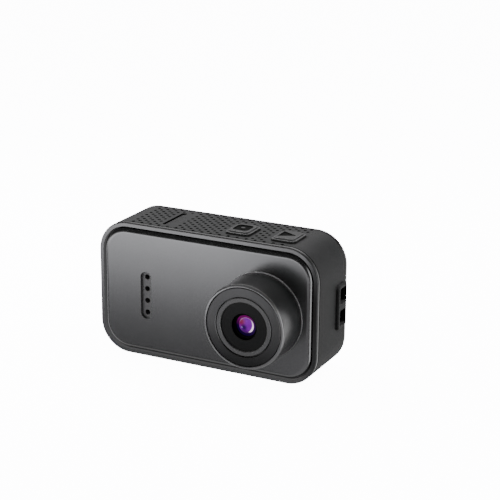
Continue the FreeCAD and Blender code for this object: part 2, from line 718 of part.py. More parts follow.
def lens_base_ring():
    ring_solid = lens_tube(BARREL_R + LAP_GAP + BASE_RING_W, BARREL_R + LAP_GAP, PLATE_FRONT - BASE_RING_H,
                           PLATE_FRONT)
    front_edges = [e for e in edges_at(ring_solid, "Y", PLATE_FRONT - BASE_RING_H)
                   if e.Curve.Radius > BARREL_R + BASE_RING_W / 2]
    return ring_solid.makeChamfer(BASE_RING_H / 2, front_edges)


def lens_seal():
    return lens_tube(BARREL_R + BARREL_FLANGE_W, BARREL_R + LAP_GAP, PLATE_BACK, PLATE_BACK + LENS_SEAL_T)


def lens_cell():
    cell = lens_disc(CELL_R, CELL_FRONT, CELL_FRONT + CELL_L)
    cell = cell.cut(lens_disc(CELL_LIP_R, CELL_FRONT, CELL_FRONT + CELL_LIP_T))
    return cell.cut(lens_disc(CELL_BORE_R, CELL_FRONT + CELL_LIP_T, CELL_FRONT + CELL_L))


def front_lens():
    ball = Part.makeSphere(DOME_R, Vector(LENS_X, DOME_TOP + DOME_R, LENS_Z))
    dome = lens_disc(CELL_BORE_R, DOME_TOP - CUT, FRONT_LENS_BACK).common(ball)
    narrow = lens_disc(CELL_LIP_R, DOME_TOP - CUT, CELL_FRONT + CELL_LIP_T)
    wide = lens_disc(CELL_BORE_R, CELL_FRONT + CELL_LIP_T, FRONT_LENS_BACK)
    return dome.common(narrow.fuse(wide))


def lens_spacer():
    return lens_tube(CELL_BORE_R, CELL_BORE_R - LENS_SPACER_W, FRONT_LENS_BACK, REAR_LENS_FRONT)


def rear_lens_group():
    back = REAR_LENS_FRONT + REAR_LENS_T
    ball = Part.makeSphere(REAR_LENS_DISH_R, Vector(LENS_X, back - REAR_LENS_DISH_R, LENS_Z))
    return lens_disc(CELL_BORE_R, REAR_LENS_FRONT, back).common(ball)


def lens_holder():
    half, cavity = HOLDER_W / 2, HOLDER_CAVITY_W / 2
    base = box(LENS_X - half, LENS_X + half, HOLDER_BASE_FRONT, HOLDER_REAR, LENS_Z - half, LENS_Z + half)
    ears = box(LENS_X - HOLDER_EAR_W / 2, LENS_X + HOLDER_EAR_W / 2, HOLDER_REAR - HOLDER_EAR_T, HOLDER_REAR,
               LENS_Z - HOLDER_EAR_H / 2, LENS_Z + HOLDER_EAR_H / 2)
    holder = base.fuse([ears, lens_disc(HOLDER_NECK_R, HOLDER_FRONT, HOLDER_BASE_FRONT)])
    cuts = [lens_disc(CELL_R, HOLDER_FRONT, HOLDER_FRONT + HOLDER_THREAD_L),
            lens_disc(HOLDER_STOP_R, HOLDER_FRONT, HOLDER_REAR),
            box(LENS_X - cavity, LENS_X + cavity, HOLDER_REAR - HOLDER_CAVITY_T, HOLDER_REAR,
                LENS_Z - cavity, LENS_Z + cavity)]
    cuts += [disc(x, LENS_Z, SCREW_R, HOLDER_REAR - HOLDER_EAR_T, HOLDER_REAR) for x in holder_screw_x()]
    return holder.cut(cuts)


def holder_screw_x():
    return [LENS_X - HOLDER_SCREW_OUT, LENS_X + HOLDER_SCREW_OUT]


def ir_filter():
    half, front = FILTER_W / 2, HOLDER_REAR - HOLDER_CAVITY_T
    return box(LENS_X - half, LENS_X + half, front, front + FILTER_T, LENS_Z - half, LENS_Z + half)


def image_sensor():
    half_w, half_h = SENSOR_W / 2, SENSOR_H / 2
    return box(LENS_X - half_w, LENS_X + half_w, SENSOR_BOARD_FRONT - SENSOR_T, SENSOR_BOARD_FRONT,
               LENS_Z - half_h, LENS_Z + half_h)


def sensor_board():
    half_w, half_h = SENSOR_BOARD_W / 2, SENSOR_BOARD_H / 2
    board = rounded_box(LENS_X - half_w, LENS_X + half_w, SENSOR_BOARD_FRONT, SENSOR_BOARD_REAR,
                        LENS_Z - half_h, LENS_Z + half_h, SENSOR_BOARD_R, "Y")
    holes = [disc(x, LENS_Z, SCREW_R, SENSOR_BOARD_FRONT, SENSOR_BOARD_REAR) for x in holder_screw_x()]
    return board.cut(holes)


def lens_holder_screws():
    return Part.makeCompound([screw(x, LENS_Z, HOLDER_REAR - HOLDER_EAR_T, True) for x in holder_screw_x()])


def sensor_flex():
    bottom = SENSOR_FLEX_Z
    half = SENSOR_FLEX_W / 2
    tab = box(LENS_X - half, LENS_X + half, SENSOR_BOARD_REAR, SENSOR_BOARD_REAR + FLEX_T,
              bottom, bottom + SENSOR_FLEX_L)
    run = box(LENS_X - half, LENS_X + half, SENSOR_BOARD_REAR, BOARD_FRONT, bottom, bottom + FLEX_T)
    return tab.fuse(run)


# ---- Buttons ------------------------------------------------------------------------------------


def button_blank(x):
    """A button with no icon: flange, plunger and a cap with one step round its top."""
    half_w, half_l = BUTTON_W / 2, BUTTON_L / 2
    top = BODY_H + BUTTON_RISE
    body = rounded_box(x - half_w, x + half_w, BUTTON_Y - half_l, BUTTON_Y + half_l,
                       FLANGE_BOTTOM, top - BUTTON_STEP_H, BUTTON_R, "Z")
    body = body.makeFillet(BUTTON_EDGE_R, edges_at(body, "Z", top - BUTTON_STEP_H))
    crown = rounded_box(x - half_w + BUTTON_STEP_W, x + half_w - BUTTON_STEP_W,
                        BUTTON_Y - half_l + BUTTON_STEP_W, BUTTON_Y + half_l - BUTTON_STEP_W,
                        FLANGE_TOP, top, BUTTON_R - BUTTON_STEP_W / 2, "Z")
    crown = crown.makeFillet(BUTTON_CROWN_R, edges_at(crown, "Z", top))
    flange_half = half_w + BUTTON_FLANGE_W
    flange = box(x - flange_half, x + flange_half, BUTTON_Y - half_l, BUTTON_Y + half_l,
                 FLANGE_BOTTOM, FLANGE_TOP)
    flange = flange.common(slab(WALL + BUTTON_REST_GAP, FRONT, REAR))
    plunger = post(x, BUTTON_Y, PLUNGER_R, PLUNGER_BOTTOM, FLANGE_BOTTOM)
    return body.fuse([crown, flange, plunger])


def record_button():
    top = BODY_H + BUTTON_RISE
    half_w, half_l = ICON_SQUARE_W / 2, ICON_SQUARE_L / 2
    icon = rounded_box(RECORD_X - half_w, RECORD_X + half_w, BUTTON_Y - half_l, BUTTON_Y + half_l,
                       top - ICON_DEPTH, top + CUT, ICON_SQUARE_R, "Z")
    icon = icon.cut(post(RECORD_X, BUTTON_Y, ICON_DOT_R, top - ICON_DEPTH, top + CUT))
    return button_blank(RECORD_X).cut(icon).removeSplitter()


def power_button():
    top = BODY_H + BUTTON_RISE
    left = POWER_X - ICON_TRIANGLE_L / 2
    corners = [Vector(left, BUTTON_Y - ICON_TRIANGLE_W / 2, top - ICON_DEPTH),
               Vector(left, BUTTON_Y + ICON_TRIANGLE_W / 2, top - ICON_DEPTH),
               Vector(left + ICON_TRIANGLE_L, BUTTON_Y, top - ICON_DEPTH)]
    icon = Part.Face(Part.makePolygon(corners + corners[:1])).extrude(Vector(0, 0, 1))
    return button_blank(POWER_X).cut(icon).removeSplitter()


def button_carrier():
    block = box(CARRIER_LEFT, CARRIER_RIGHT, BUTTON_Y - CARRIER_HALF_L, BUTTON_Y + CARRIER_HALF_L,
                BUTTON_BOARD_TOP, INNER_TOP).common(slab(WALL, FRONT, REAR))
    block = block.cut(ring(WALL, LEDGE_INSET + COVER_GAP, PLATE_BACK, FRONT_TONGUE_END + COVER_GAP))
    half_w = CARRIER_HALF_W - CARRIER_WALL
    half_l = CARRIER_HALF_L - CARRIER_WALL
    switch_half = SWITCH_W / 2 + CARRIER_GAP
    for x in (RECORD_X, POWER_X):
        block = block.cut([
            box(x - half_w, x + half_w, BUTTON_Y - half_l, BUTTON_Y + half_l, PAD_BOTTOM, BODY_H),
            post(x, BUTTON_Y, PLUNGER_R + CARRIER_WALL, BUTTON_BOARD_TOP, PAD_BOTTOM),
            box(x - switch_half, x + switch_half, BUTTON_Y - switch_half, BUTTON_Y + switch_half,
                BUTTON_BOARD_TOP, CARRIER_FLOOR_BOTTOM)])
    return block


def button_pads():
    half_w = CARRIER_HALF_W - CARRIER_WALL - CARRIER_GAP
    half_l = CARRIER_HALF_L - CARRIER_WALL - CARRIER_GAP
    pads = []
    for x in (RECORD_X, POWER_X):
        pad = rounded_box(x - half_w, x + half_w, BUTTON_Y - half_l, BUTTON_Y + half_l,
                          PAD_BOTTOM, PAD_TOP, PAD_R, "Z")
        pads.append(pad.cut(post(x, BUTTON_Y, PLUNGER_R + CARRIER_WALL, PAD_BOTTOM, PAD_TOP)))
    return Part.makeCompound(pads)


def button_board():
    return box(CARRIER_LEFT, CARRIER_RIGHT, BUTTON_Y - CARRIER_HALF_L, BUTTON_Y + CARRIER_HALF_L,
               BUTTON_BOARD_TOP - BUTTON_BOARD_T, BUTTON_BOARD_TOP)


def tact_switches():
    half = SWITCH_W / 2
    switches = []
    for x in (RECORD_X, POWER_X):
        case = box(x - half, x + half, BUTTON_Y - half, BUTTON_Y + half,
                   BUTTON_BOARD_TOP, BUTTON_BOARD_TOP + SWITCH_H)
        switches.append(case.fuse(post(x, BUTTON_Y, ACTUATOR_R, BUTTON_BOARD_TOP, ACTUATOR_TOP)))
    return Part.makeCompound(switches)


# ---- Memory card --------------------------------------------------------------------------------


def memory_card():
    face = CARD_X - CARD_T / 2
    front, back = CARD_Y - CARD_W / 2, CARD_Y + CARD_W / 2
    card = box(face, face + CARD_T, front, back, CARD_BOTTOM, CARD_TOP)
    ridge = box(face, face + CARD_RIDGE_T, front + CARD_RIDGE_INSET, back - CARD_RIDGE_INSET,
                CARD_TOP - CARD_RIDGE_L, CARD_TOP)
    corner = box(face, face + CARD_T, back - CARD_NOTCH_W, back, CARD_BOTTOM, CARD_BOTTOM + CARD_NOTCH_L)
    return card.cut(corner).fuse(ridge).removeSplitter()


def card_reader():
    half = READER_HALF_L
    face = CARD_X - CARD_T / 2
    case = box(READER_LEFT, READER_RIGHT, CARD_Y - half, CARD_Y + half, READER_BOTTOM, READER_TOP)
    cavity = box(face - CARD_GAP, face + CARD_RIDGE_T + CARD_GAP, CARD_Y - CARD_W / 2 - CARD_GAP,
                 CARD_Y + CARD_W / 2 + CARD_GAP, READER_FLOOR, READER_TOP)
    return case.cut(cavity)


def card_board():
    half = READER_HALF_L - CARD_BOARD_INSET
    return box(READER_RIGHT, CARD_BOARD_RIGHT, CARD_Y - half, CARD_Y + half, READER_BOTTOM,
               READER_TOP - CARD_BOARD_DROP)


# ---- Frame, boards and battery ------------------------------------------------------------------


def common_notches(y0, y1):
    """Clearances that both the frame and the main board need: card reader, buttons, tripod boss."""
    reader = box(READER_LEFT - NOTCH_GAP, CARD_BOARD_RIGHT, y0, y1, READER_BOTTOM - NOTCH_GAP, BODY_H)
    buttons = box(CARRIER_LEFT - COVER_GAP, CARRIER_RIGHT + COVER_GAP, y0, y1,
                  BUTTON_BOARD_TOP - BUTTON_BOARD_T - COVER_GAP, BODY_H)
    half = SOCKET_BOSS_R + COVER_GAP
    socket = box(-half, half, y0, y1, 0, SOCKET_BOSS_TOP + NOTCH_GAP)
    return [reader, buttons, socket]


def inner_frame():
    frame = slab(WALL + FRAME_INSET, FRAME_FRONT, FRAME_REAR)
    usb = box(-BODY_W / 2, -BODY_W / 2 + USB_SINK + USB_L + NOTCH_GAP, FRAME_FRONT, FRAME_REAR,
              USB_Z - USB_W / 2 - NOTCH_GAP, USB_Z + USB_W / 2 + NOTCH_GAP)
    flex = box(LENS_X - SENSOR_FLEX_W / 2 - NOTCH_GAP, LENS_X + SENSOR_FLEX_W / 2 + NOTCH_GAP,
               FRAME_FRONT, FRAME_REAR, SENSOR_FLEX_Z - NOTCH_GAP, SENSOR_FLEX_Z + FLEX_T + NOTCH_GAP)
    frame = frame.cut(common_notches(FRAME_FRONT, FRAME_REAR) + [usb, flex])
    wall = box(BATTERY_RIGHT + COVER_GAP, BATTERY_RIGHT + COVER_GAP + TRAY_WALL, FRAME_FRONT - TRAY_WALL_D,
               FRAME_FRONT, SOCKET_BOSS_TOP + NOTCH_GAP, BATTERY_TOP)
    studs = [disc(x, z, BOARD_BOSS_R, FRAME_REAR, BOARD_FRONT) for x, z in board_screw_places()]
    studs += [disc(x, LENS_Z, BOARD_BOSS_R, SENSOR_BOARD_REAR, FRAME_FRONT) for x in holder_screw_x()]
    frame = frame.fuse([wall] + studs)
    holes = [disc(x, z, SCREW_R, FRAME_FRONT, FRAME_REAR) for x, z in screw_places()]
    holes += [disc(x, z, SCREW_R, BOARD_REAR - SCREW_L, BOARD_FRONT) for x, z in board_screw_places()]
    holes += [disc(x, LENS_Z, SCREW_R, SENSOR_BOARD_REAR, SENSOR_BOARD_REAR + SCREW_L)
              for x in holder_screw_x()]
    return frame.cut(holes).removeSplitter()


def housing_screws():
    return Part.makeCompound([screw(x, z, FRAME_FRONT, True) for x, z in screw_places()])


def main_board():
    board = slab(WALL + BOARD_INSET, BOARD_FRONT, BOARD_REAR)
    strap = box(STRAP_IN - NOTCH_GAP, STRAP_OUT, BOARD_FRONT, BOARD_REAR,
                STRAP_Z - STRAP_PAD_H / 2 - NOTCH_GAP, STRAP_Z + STRAP_PAD_H / 2 + NOTCH_GAP)
    cuts = common_notches(BOARD_FRONT, BOARD_REAR) + [strap]
    cuts += [disc(x, z, BOSS_R + NOTCH_GAP / 2, BOARD_FRONT, BOARD_REAR) for x, z in screw_places()]
    cuts += [disc(x, z, SCREW_R, BOARD_FRONT, BOARD_REAR) for x, z in board_screw_places()]
    return board.cut(cuts)


def board_screws():
    return Part.makeCompound([screw(x, z, BOARD_REAR, False) for x, z in board_screw_places()])


def processor_shield():
    half_w, half_h = SHIELD_W / 2, SHIELD_H / 2
    return rounded_box(SHIELD_X - half_w, SHIELD_X + half_w, BOARD_REAR, BOARD_REAR + SHIELD_T,
                       MID_Z - half_h, MID_Z + half_h, SHIELD_R, "Y")


def heat_spreader():
    half_w, half_h = SPREADER_W / 2, SPREADER_H / 2
    return rounded_box(SHIELD_X - half_w, SHIELD_X + half_w, SPREADER_FRONT, SPREADER_FRONT + SPREADER_T,
                       MID_Z - half_h, MID_Z + half_h, SPREADER_R, "Y")


def memory_chips():
    left = CARD_BOARD_RIGHT + CHIP_GAP
    chips = []
    for k in range(2):
        z = MID_Z - CHIP_DROP - CHIP_H + k * (CHIP_H + CHIP_GAP)
        chips.append(box(left, left + CHIP_W, BOARD_REAR, BOARD_REAR + CHIP_T, z, z + CHIP_H))
    return Part.makeCompound(chips)


def connector_z():
    """Height of the display connector's middle, just above the board's lower edge."""
    return WALL + BOARD_INSET + CONNECTOR_H


def board_connectors():
    z = connector_z()
    half = DISPLAY_FLEX_W / 2 + CONNECTOR_MARGIN
    display = box(DISPLAY_FLEX_X - half, DISPLAY_FLEX_X + half, BOARD_REAR, BOARD_REAR + CONNECTOR_T,
                  z - CONNECTOR_H / 2, z + CONNECTOR_H / 2)
    left, low = BATTERY_LEFT + CONNECTOR_OUT, MID_Z + CONNECTOR_OUT
    battery = box(left, left + CONNECTOR_W, BOARD_REAR, BOARD_REAR + CONNECTOR_T, low, low + CONNECTOR_H)
    return Part.makeCompound([display, battery])


def battery_pack():
    return rounded_box(BATTERY_LEFT, BATTERY_RIGHT, BATTERY_REAR - BATTERY_T, BATTERY_REAR,
                       WALL + BATTERY_BASE_GAP, BATTERY_TOP, BATTERY_R, "Z")


def battery_board():
    middle = BATTERY_REAR - BATTERY_T / 2
    return box(BATTERY_LEFT + BATTERY_BOARD_INSET, BATTERY_RIGHT - BATTERY_BOARD_INSET,
               middle - BATTERY_BOARD_D / 2, middle + BATTERY_BOARD_D / 2,
               BATTERY_TOP, BATTERY_TOP + BATTERY_BOARD_T)


# ---- Sides, base and screen ---------------------------------------------------------------------


def usb_c_receptacle():
    mouth = -BODY_W / 2 + USB_SINK
    case = usb_outline(mouth, mouth + USB_L, 0)
    cavity = usb_outline(mouth, mouth + USB_DEPTH, -USB_WALL)
    tongue = box(mouth + USB_DEPTH - USB_TONGUE_L, mouth + USB_DEPTH, USB_Y - USB_TONGUE_H / 2,
                 USB_Y + USB_TONGUE_H / 2, USB_Z - USB_TONGUE_W / 2, USB_Z + USB_TONGUE_W / 2)
    return case.cut(cavity).fuse(tongue)


def speaker():
    left = INNER_LEFT + COVER_GAP
    return rounded_box(left, left + SPEAKER_T, SPEAKER_Y - SPEAKER_W / 2, SPEAKER_Y + SPEAKER_W / 2,
                       SPEAKER_Z - SPEAKER_H / 2, SPEAKER_Z + SPEAKER_H / 2, SPEAKER_R, "X")


def wifi_antenna():
    left = INNER_LEFT + COVER_GAP
    return box(left, left + ANTENNA_T, ANTENNA_Y - ANTENNA_W / 2, ANTENNA_Y + ANTENNA_W / 2,
               ANTENNA_Z - ANTENNA_H / 2, ANTENNA_Z + ANTENNA_H / 2)


def strap_anchor():
    block = strap_block(STRAP_IN, STRAP_OUT)
    block = block.makeFillet(STRAP_EDGE_R, edges_at(block, "X", STRAP_OUT))
    y0, y1 = STRAP_WINDOW_Y - STRAP_WINDOW_W / 2, STRAP_WINDOW_Y + STRAP_WINDOW_W / 2
    for side in (-1, 1):
        near, far = sorted((STRAP_Z + side * STRAP_BAR / 2, STRAP_Z + side * (STRAP_BAR / 2 + STRAP_WINDOW)))
        window = rounded_box(STRAP_IN + STRAP_BACK_WALL, STRAP_OUT + CUT, y0, y1, near, far,
                             STRAP_WINDOW_R, "X")
        block = block.cut(window)
    behind = box(STRAP_IN + STRAP_BACK_WALL, STRAP_OUT - STRAP_BAR_D, y0, y1,
                 STRAP_Z - STRAP_BAR / 2 - STRAP_WINDOW / 2, STRAP_Z + STRAP_BAR / 2 + STRAP_WINDOW / 2)
    return block.cut(behind)


def tripod_insert():
    insert = post(0, 0, INSERT_R, 0, SOCKET_DEPTH + INSERT_FLOOR)
    return insert.cut(post(0, 0, SOCKET_R, 0, SOCKET_DEPTH))


def display_panel():
    half_w, half_h = PANEL_W / 2, PANEL_H / 2
    return rounded_box(SCREEN_X - half_w, SCREEN_X + half_w, PANEL_FRONT, GLASS_FRONT,
                       SCREEN_Z - half_h, SCREEN_Z + half_h, PANEL_R, "Y")


def backlight_tray():
    half_w, half_h = PANEL_W / 2 + TRAY_BORDER, PANEL_H / 2 + TRAY_BORDER
    return rounded_box(SCREEN_X - half_w, SCREEN_X + half_w, TRAY_FRONT, PANEL_FRONT,
                       SCREEN_Z - half_h, SCREEN_Z + half_h, PANEL_R + TRAY_BORDER, "Y")


def display_flex():
    z = connector_z()
    x0, x1 = DISPLAY_FLEX_X - DISPLAY_FLEX_W / 2, DISPLAY_FLEX_X + DISPLAY_FLEX_W / 2
    tab = box(x0, x1, TRAY_FRONT - FLEX_T, TRAY_FRONT, z, z + DISPLAY_FLEX_L)
    return tab.fuse(box(x0, x1, BOARD_REAR + CONNECTOR_T, TRAY_FRONT, z, z + FLEX_T))


MAKERS = [
    main_shell, front_rim, front_plate, front_gasket, rear_rim, rear_glass, rear_adhesive,
    microphone_grille, microphone_mesh, microphone_capsules, microphone_board,
    lens_barrel, lens_seal, lens_base_ring, lens_trim_ring, lens_inner_ring, lens_baffle, lens_cell,
    front_lens, lens_spacer, rear_lens_group, lens_holder, ir_filter, image_sensor, sensor_board,
    sensor_flex, lens_holder_screws, record_button, power_button, button_carrier, button_pads,
    button_board, tact_switches, memory_card, card_reader, card_board, inner_frame, housing_screws,
    main_board, board_screws, processor_shield, heat_spreader, memory_chips, board_connectors,
    battery_pack, battery_board, usb_c_receptacle, speaker, wifi_antenna, strap_anchor,
    tripod_insert, display_panel, backlight_tray, display_flex]


def main():
    os.makedirs("parts", exist_ok=True)
    for maker in MAKERS:
        shape = maker()
        shape.exportStep(f"parts/{maker.__name__}.step")
        print(maker.__name__, len(shape.Solids), "solid(s)", round(shape.Volume, 1), "mm3", shape.isValid())


main()
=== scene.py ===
"""Looks of a small action camera: finishes, small details, screen picture, studio and camera.

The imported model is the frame. Lengths are metres, +Z is up and the lens looks along -Y.
"""

from __future__ import annotations

import json
import logging
import math
from collections.abc import Sequence
from dataclasses import dataclass, field
from enum import Enum

import bmesh
import bpy
from mathutils import Matrix, Vector

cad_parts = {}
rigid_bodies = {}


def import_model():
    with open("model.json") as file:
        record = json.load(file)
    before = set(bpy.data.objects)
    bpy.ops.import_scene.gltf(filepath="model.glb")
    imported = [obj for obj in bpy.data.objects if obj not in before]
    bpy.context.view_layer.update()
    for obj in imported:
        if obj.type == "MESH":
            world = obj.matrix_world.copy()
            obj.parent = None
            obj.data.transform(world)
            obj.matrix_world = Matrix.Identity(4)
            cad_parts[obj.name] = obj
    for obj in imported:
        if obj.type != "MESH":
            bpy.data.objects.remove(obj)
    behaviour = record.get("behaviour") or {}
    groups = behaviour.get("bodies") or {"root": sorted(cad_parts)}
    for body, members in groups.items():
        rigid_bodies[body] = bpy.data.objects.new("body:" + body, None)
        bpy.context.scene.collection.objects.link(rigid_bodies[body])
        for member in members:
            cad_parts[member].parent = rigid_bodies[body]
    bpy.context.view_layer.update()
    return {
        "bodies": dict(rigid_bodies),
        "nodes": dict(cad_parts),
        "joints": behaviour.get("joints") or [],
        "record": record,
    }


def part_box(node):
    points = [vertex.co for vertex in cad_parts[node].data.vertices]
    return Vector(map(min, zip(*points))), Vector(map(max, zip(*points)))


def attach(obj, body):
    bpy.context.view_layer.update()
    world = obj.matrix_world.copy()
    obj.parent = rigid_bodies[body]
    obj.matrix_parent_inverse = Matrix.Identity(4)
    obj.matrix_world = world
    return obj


LOG = logging.getLogger("action_camera")

MM = 0.001
CAMERA_BODY = "camera"
SCREEN_CENTRE = (-0.8 * MM, 17.75 * MM)
SCREEN_SIZE = (44.0 * MM, 23.9 * MM)

Colour = tuple[float, float, float]


def grey(value: float) -> Colour:
    """A neutral colour of that linear value."""
    return (value, value, value * 1.02)


class Grain(Enum):
    """How the surface of a finish is worked."""

    MOULDED = "moulded"
    PAINTED = "painted"
    TURNED = "turned"
    POLISHED = "polished"


class NodeTree:
    """Adds nodes to one node tree and links them."""

    coordinates = "Object"

    def __init__(self, tree: bpy.types.NodeTree) -> None:
        """Works on that tree."""
        self.tree = tree

    def add(self, kind: str, **settings: object) -> bpy.types.Node:
        """Makes a node and sets its properties.

        Args:
            kind: Blender's name of the node type.
            **settings: Properties of the node.

        Returns:
            The node.
        """
        node = self.tree.nodes.new(kind)
        for key, value in settings.items():
            setattr(node, key, value)
        return node

    def feed(self, socket: bpy.types.NodeSocket, value: object) -> None:
        """Links an output to a socket, or sets the socket to a plain value.

        Args:
            socket: The input to fill.
            value: An output socket, a number or a tuple.
        """
        if isinstance(value, bpy.types.NodeSocket):
            self.tree.links.new(value, socket)
        elif isinstance(value, tuple) and len(value) == 3 and socket.type == "RGBA":
            socket.default_value = (*value, 1.0)
        else:
            socket.default_value = value

    def place(self) -> bpy.types.NodeSocket:
        """The point on the surface in the row frame, in metres, or the direction in a world."""
        return self.add("ShaderNodeTexCoord").outputs[self.coordinates]

    def axes(self) -> tuple[bpy.types.NodeSocket, bpy.types.NodeSocket, bpy.types.NodeSocket]:
        """The X, Y and Z of the point on the surface.

        Returns:
            The three sockets.
        """
        split = self.add("ShaderNodeSeparateXYZ")
        self.feed(split.inputs[0], self.place())
        return split.outputs[0], split.outputs[1], split.outputs[2]

    def maths(self, operation: str, *values: object) -> bpy.types.NodeSocket:
        """One step of arithmetic.

        Args:
            operation: Blender's name of it, such as ADD.
            *values: Sockets or numbers.

        Returns:
            The result.
        """
        node = self.add("ShaderNodeMath", operation=operation)
        for socket, value in zip(node.inputs, values):
            self.feed(socket, value)
        return node.outputs[0]

    def product(self, *values: object) -> bpy.types.NodeSocket:
        """All the values multiplied together.

        Args:
            *values: Sockets or numbers.

        Returns:
            The product.
        """
        result = values[0]
        for value in values[1:]:
            result = self.maths("MULTIPLY", result, value)
        return result

    def noise(self, size: float, detail: float = 2.0, place: object = None) -> bpy.types.NodeSocket:
        """Soft random patches, from 0 to 1.

        Args:
            size: The size of a patch in metres.
            detail: How many finer layers are added.
            place: Where to look it up, or None for the point on the surface.

        Returns:
            The pattern.
        """
        node = self.add("ShaderNodeTexNoise")
        self.feed(node.inputs["Vector"], place if place is not None else self.place())
        self.feed(node.inputs["Scale"], 1.0 / size)
        self.feed(node.inputs["Detail"], detail)
        return node.outputs["Fac"]

    def spread(self, value: object, low: float, high: float, to_low: float,
               to_high: float) -> bpy.types.NodeSocket:
        """Maps low..high to to_low..to_high, held at both ends.

        Args:
            value: What is mapped.
            low: The lower end of its range, or the higher one to turn it round.
            high: The other end.
            to_low: What the first end becomes.
            to_high: What the other end becomes.

        Returns:
            The mapped value.
        """
        node = self.add("ShaderNodeMapRange")
        for socket, given in zip(node.inputs, (value, low, high, to_low, to_high)):
            self.feed(socket, given)
        return node.outputs[0]

    def blend(self, factor: object, first: object, second: object) -> bpy.types.NodeSocket:
        """A colour between two, by a factor from 0 to 1.

        Args:
            factor: How much of the second.
            first: A colour or socket.
            second: A colour or socket.

        Returns:
            The colour.
        """
        node = self.add("ShaderNodeMix", data_type="RGBA")
        self.feed(node.inputs[0], factor)
        self.feed(node.inputs[6], first)
        self.feed(node.inputs[7], second)
        return node.outputs[2]

    def ramp(self, factor: object, stops: Sequence[tuple[float, Colour]]) -> bpy.types.NodeSocket:
        """A colour read from stops along a factor.

        Args:
            factor: Where along the stops, from 0 to 1.
            stops: Places and their colours.

        Returns:
            The colour.
        """
        node = self.add("ShaderNodeValToRGB")
        band = node.color_ramp
        while len(band.elements) < len(stops):
            band.elements.new(0.5)
        for element, (where, colour) in zip(band.elements, stops):
            element.position = where
            element.color = (*colour, 1.0)
        self.feed(node.inputs[0], factor)
        return node.outputs[0]


class ShaderTree(NodeTree):
    """The node tree of one material with one Principled shader."""

    def __init__(self, name: str) -> None:
        """Makes the material.

        Args:
            name: The material's name.
        """
        self.material = bpy.data.materials.new(name)
        self.material.use_nodes = True
        super().__init__(self.material.node_tree)
        self.shader = self.tree.nodes["Principled BSDF"]

    def bump(self, height: object, depth: float) -> None:
        """Gives the shader a relief.

        Args:
            height: A pattern from 0 to 1.
            depth: How deep it goes, in metres.
        """
        node = self.add("ShaderNodeBump")
        self.feed(node.inputs["Strength"], 1.0)
        self.feed(node.inputs["Distance"], depth)
        self.feed(node.inputs["Height"], height)
        self.feed(self.shader.inputs["Normal"], node.outputs[0])

    def set(self, **values: object) -> None:
        """Sets or links sockets of the shader, named with _ for a space."""
        for name, value in values.items():
            self.feed(self.shader.inputs[name.replace("_", " ")], value)


@dataclass(frozen=True)
class Finish:
    """A surface finish with its colour, gloss and the marks that its making leaves."""

    name: str
    colour: Colour
    roughness: float = 0.5
    metallic: float = 0.0
    grain: Grain = Grain.MOULDED
    grain_size: float = 0.22 * MM
    grain_depth: float = 0.008 * MM
    mottle: float = 0.08
    coat: float = 0.0
    coat_roughness: float = 0.05
    specular: float = 0.5

    def colours(self, tree: ShaderTree) -> bpy.types.NodeSocket:
        """The base colour with slow, slight changes over the surface.

        Args:
            tree: Where the nodes go.

        Returns:
            The colour.
        """
        dark = tuple(c * (1 - self.mottle) for c in self.colour)
        light = tuple(min(1.0, c * (1 + self.mottle)) for c in self.colour)
        patches = tree.spread(tree.noise(6 * MM, 3.0), 0.3, 0.7, 0.0, 1.0)
        return tree.blend(patches, dark, light)

    def relief(self, tree: ShaderTree) -> bpy.types.NodeSocket:
        """The fine pattern that the making leaves, from 0 to 1.

        Args:
            tree: Where the nodes go.

        Returns:
            The pattern.
        """
        if self.grain is Grain.TURNED:
            across = tree.add("ShaderNodeCombineXYZ")
            tree.feed(across.inputs[0], self.axis_distance(tree))
            tree.feed(across.inputs[1], tree.axes()[1])
            return tree.noise(self.grain_size, 1.0, across.outputs[0])
        return tree.noise(self.grain_size, 2.0)

    @staticmethod
    def axis_distance(tree: ShaderTree) -> bpy.types.NodeSocket:
        """The distance from the lens axis.

        Args:
            tree: Where the nodes go.

        Returns:
            The distance in metres.
        """
        x, _, z = tree.axes()
        across = tree.maths("SUBTRACT", x, LensAssembly.AXIS_X)
        above = tree.maths("SUBTRACT", z, LensAssembly.AXIS_Z)
        return tree.maths("SQRT", tree.maths("ADD", tree.product(across, across), tree.product(above, above)))

    def build(self) -> bpy.types.Material:
        """Makes the material.

        Returns:
            The material.
        """
        tree = ShaderTree(self.name)
        self.fill(tree)
        return tree.material

    def fill(self, tree: ShaderTree) -> None:
        """Sets up the material's nodes.

        Args:
            tree: Where the nodes go.
        """
        tree.set(Metallic=self.metallic, Specular_IOR_Level=self.specular)
        tree.set(Base_Color=self.colours(tree))
        relief = self.relief(tree)
        spread = 0.1 if self.grain is Grain.MOULDED else 0.02
        smoothest = max(0.02, self.roughness - spread / 2)
        rough = tree.spread(relief, 0.3, 0.7, smoothest, self.roughness + spread / 2)
        tree.set(Roughness=rough, Coat_Weight=self.coat, Coat_Roughness=self.coat_roughness)
        if self.grain is not Grain.POLISHED:
            tree.bump(relief, self.grain_depth)


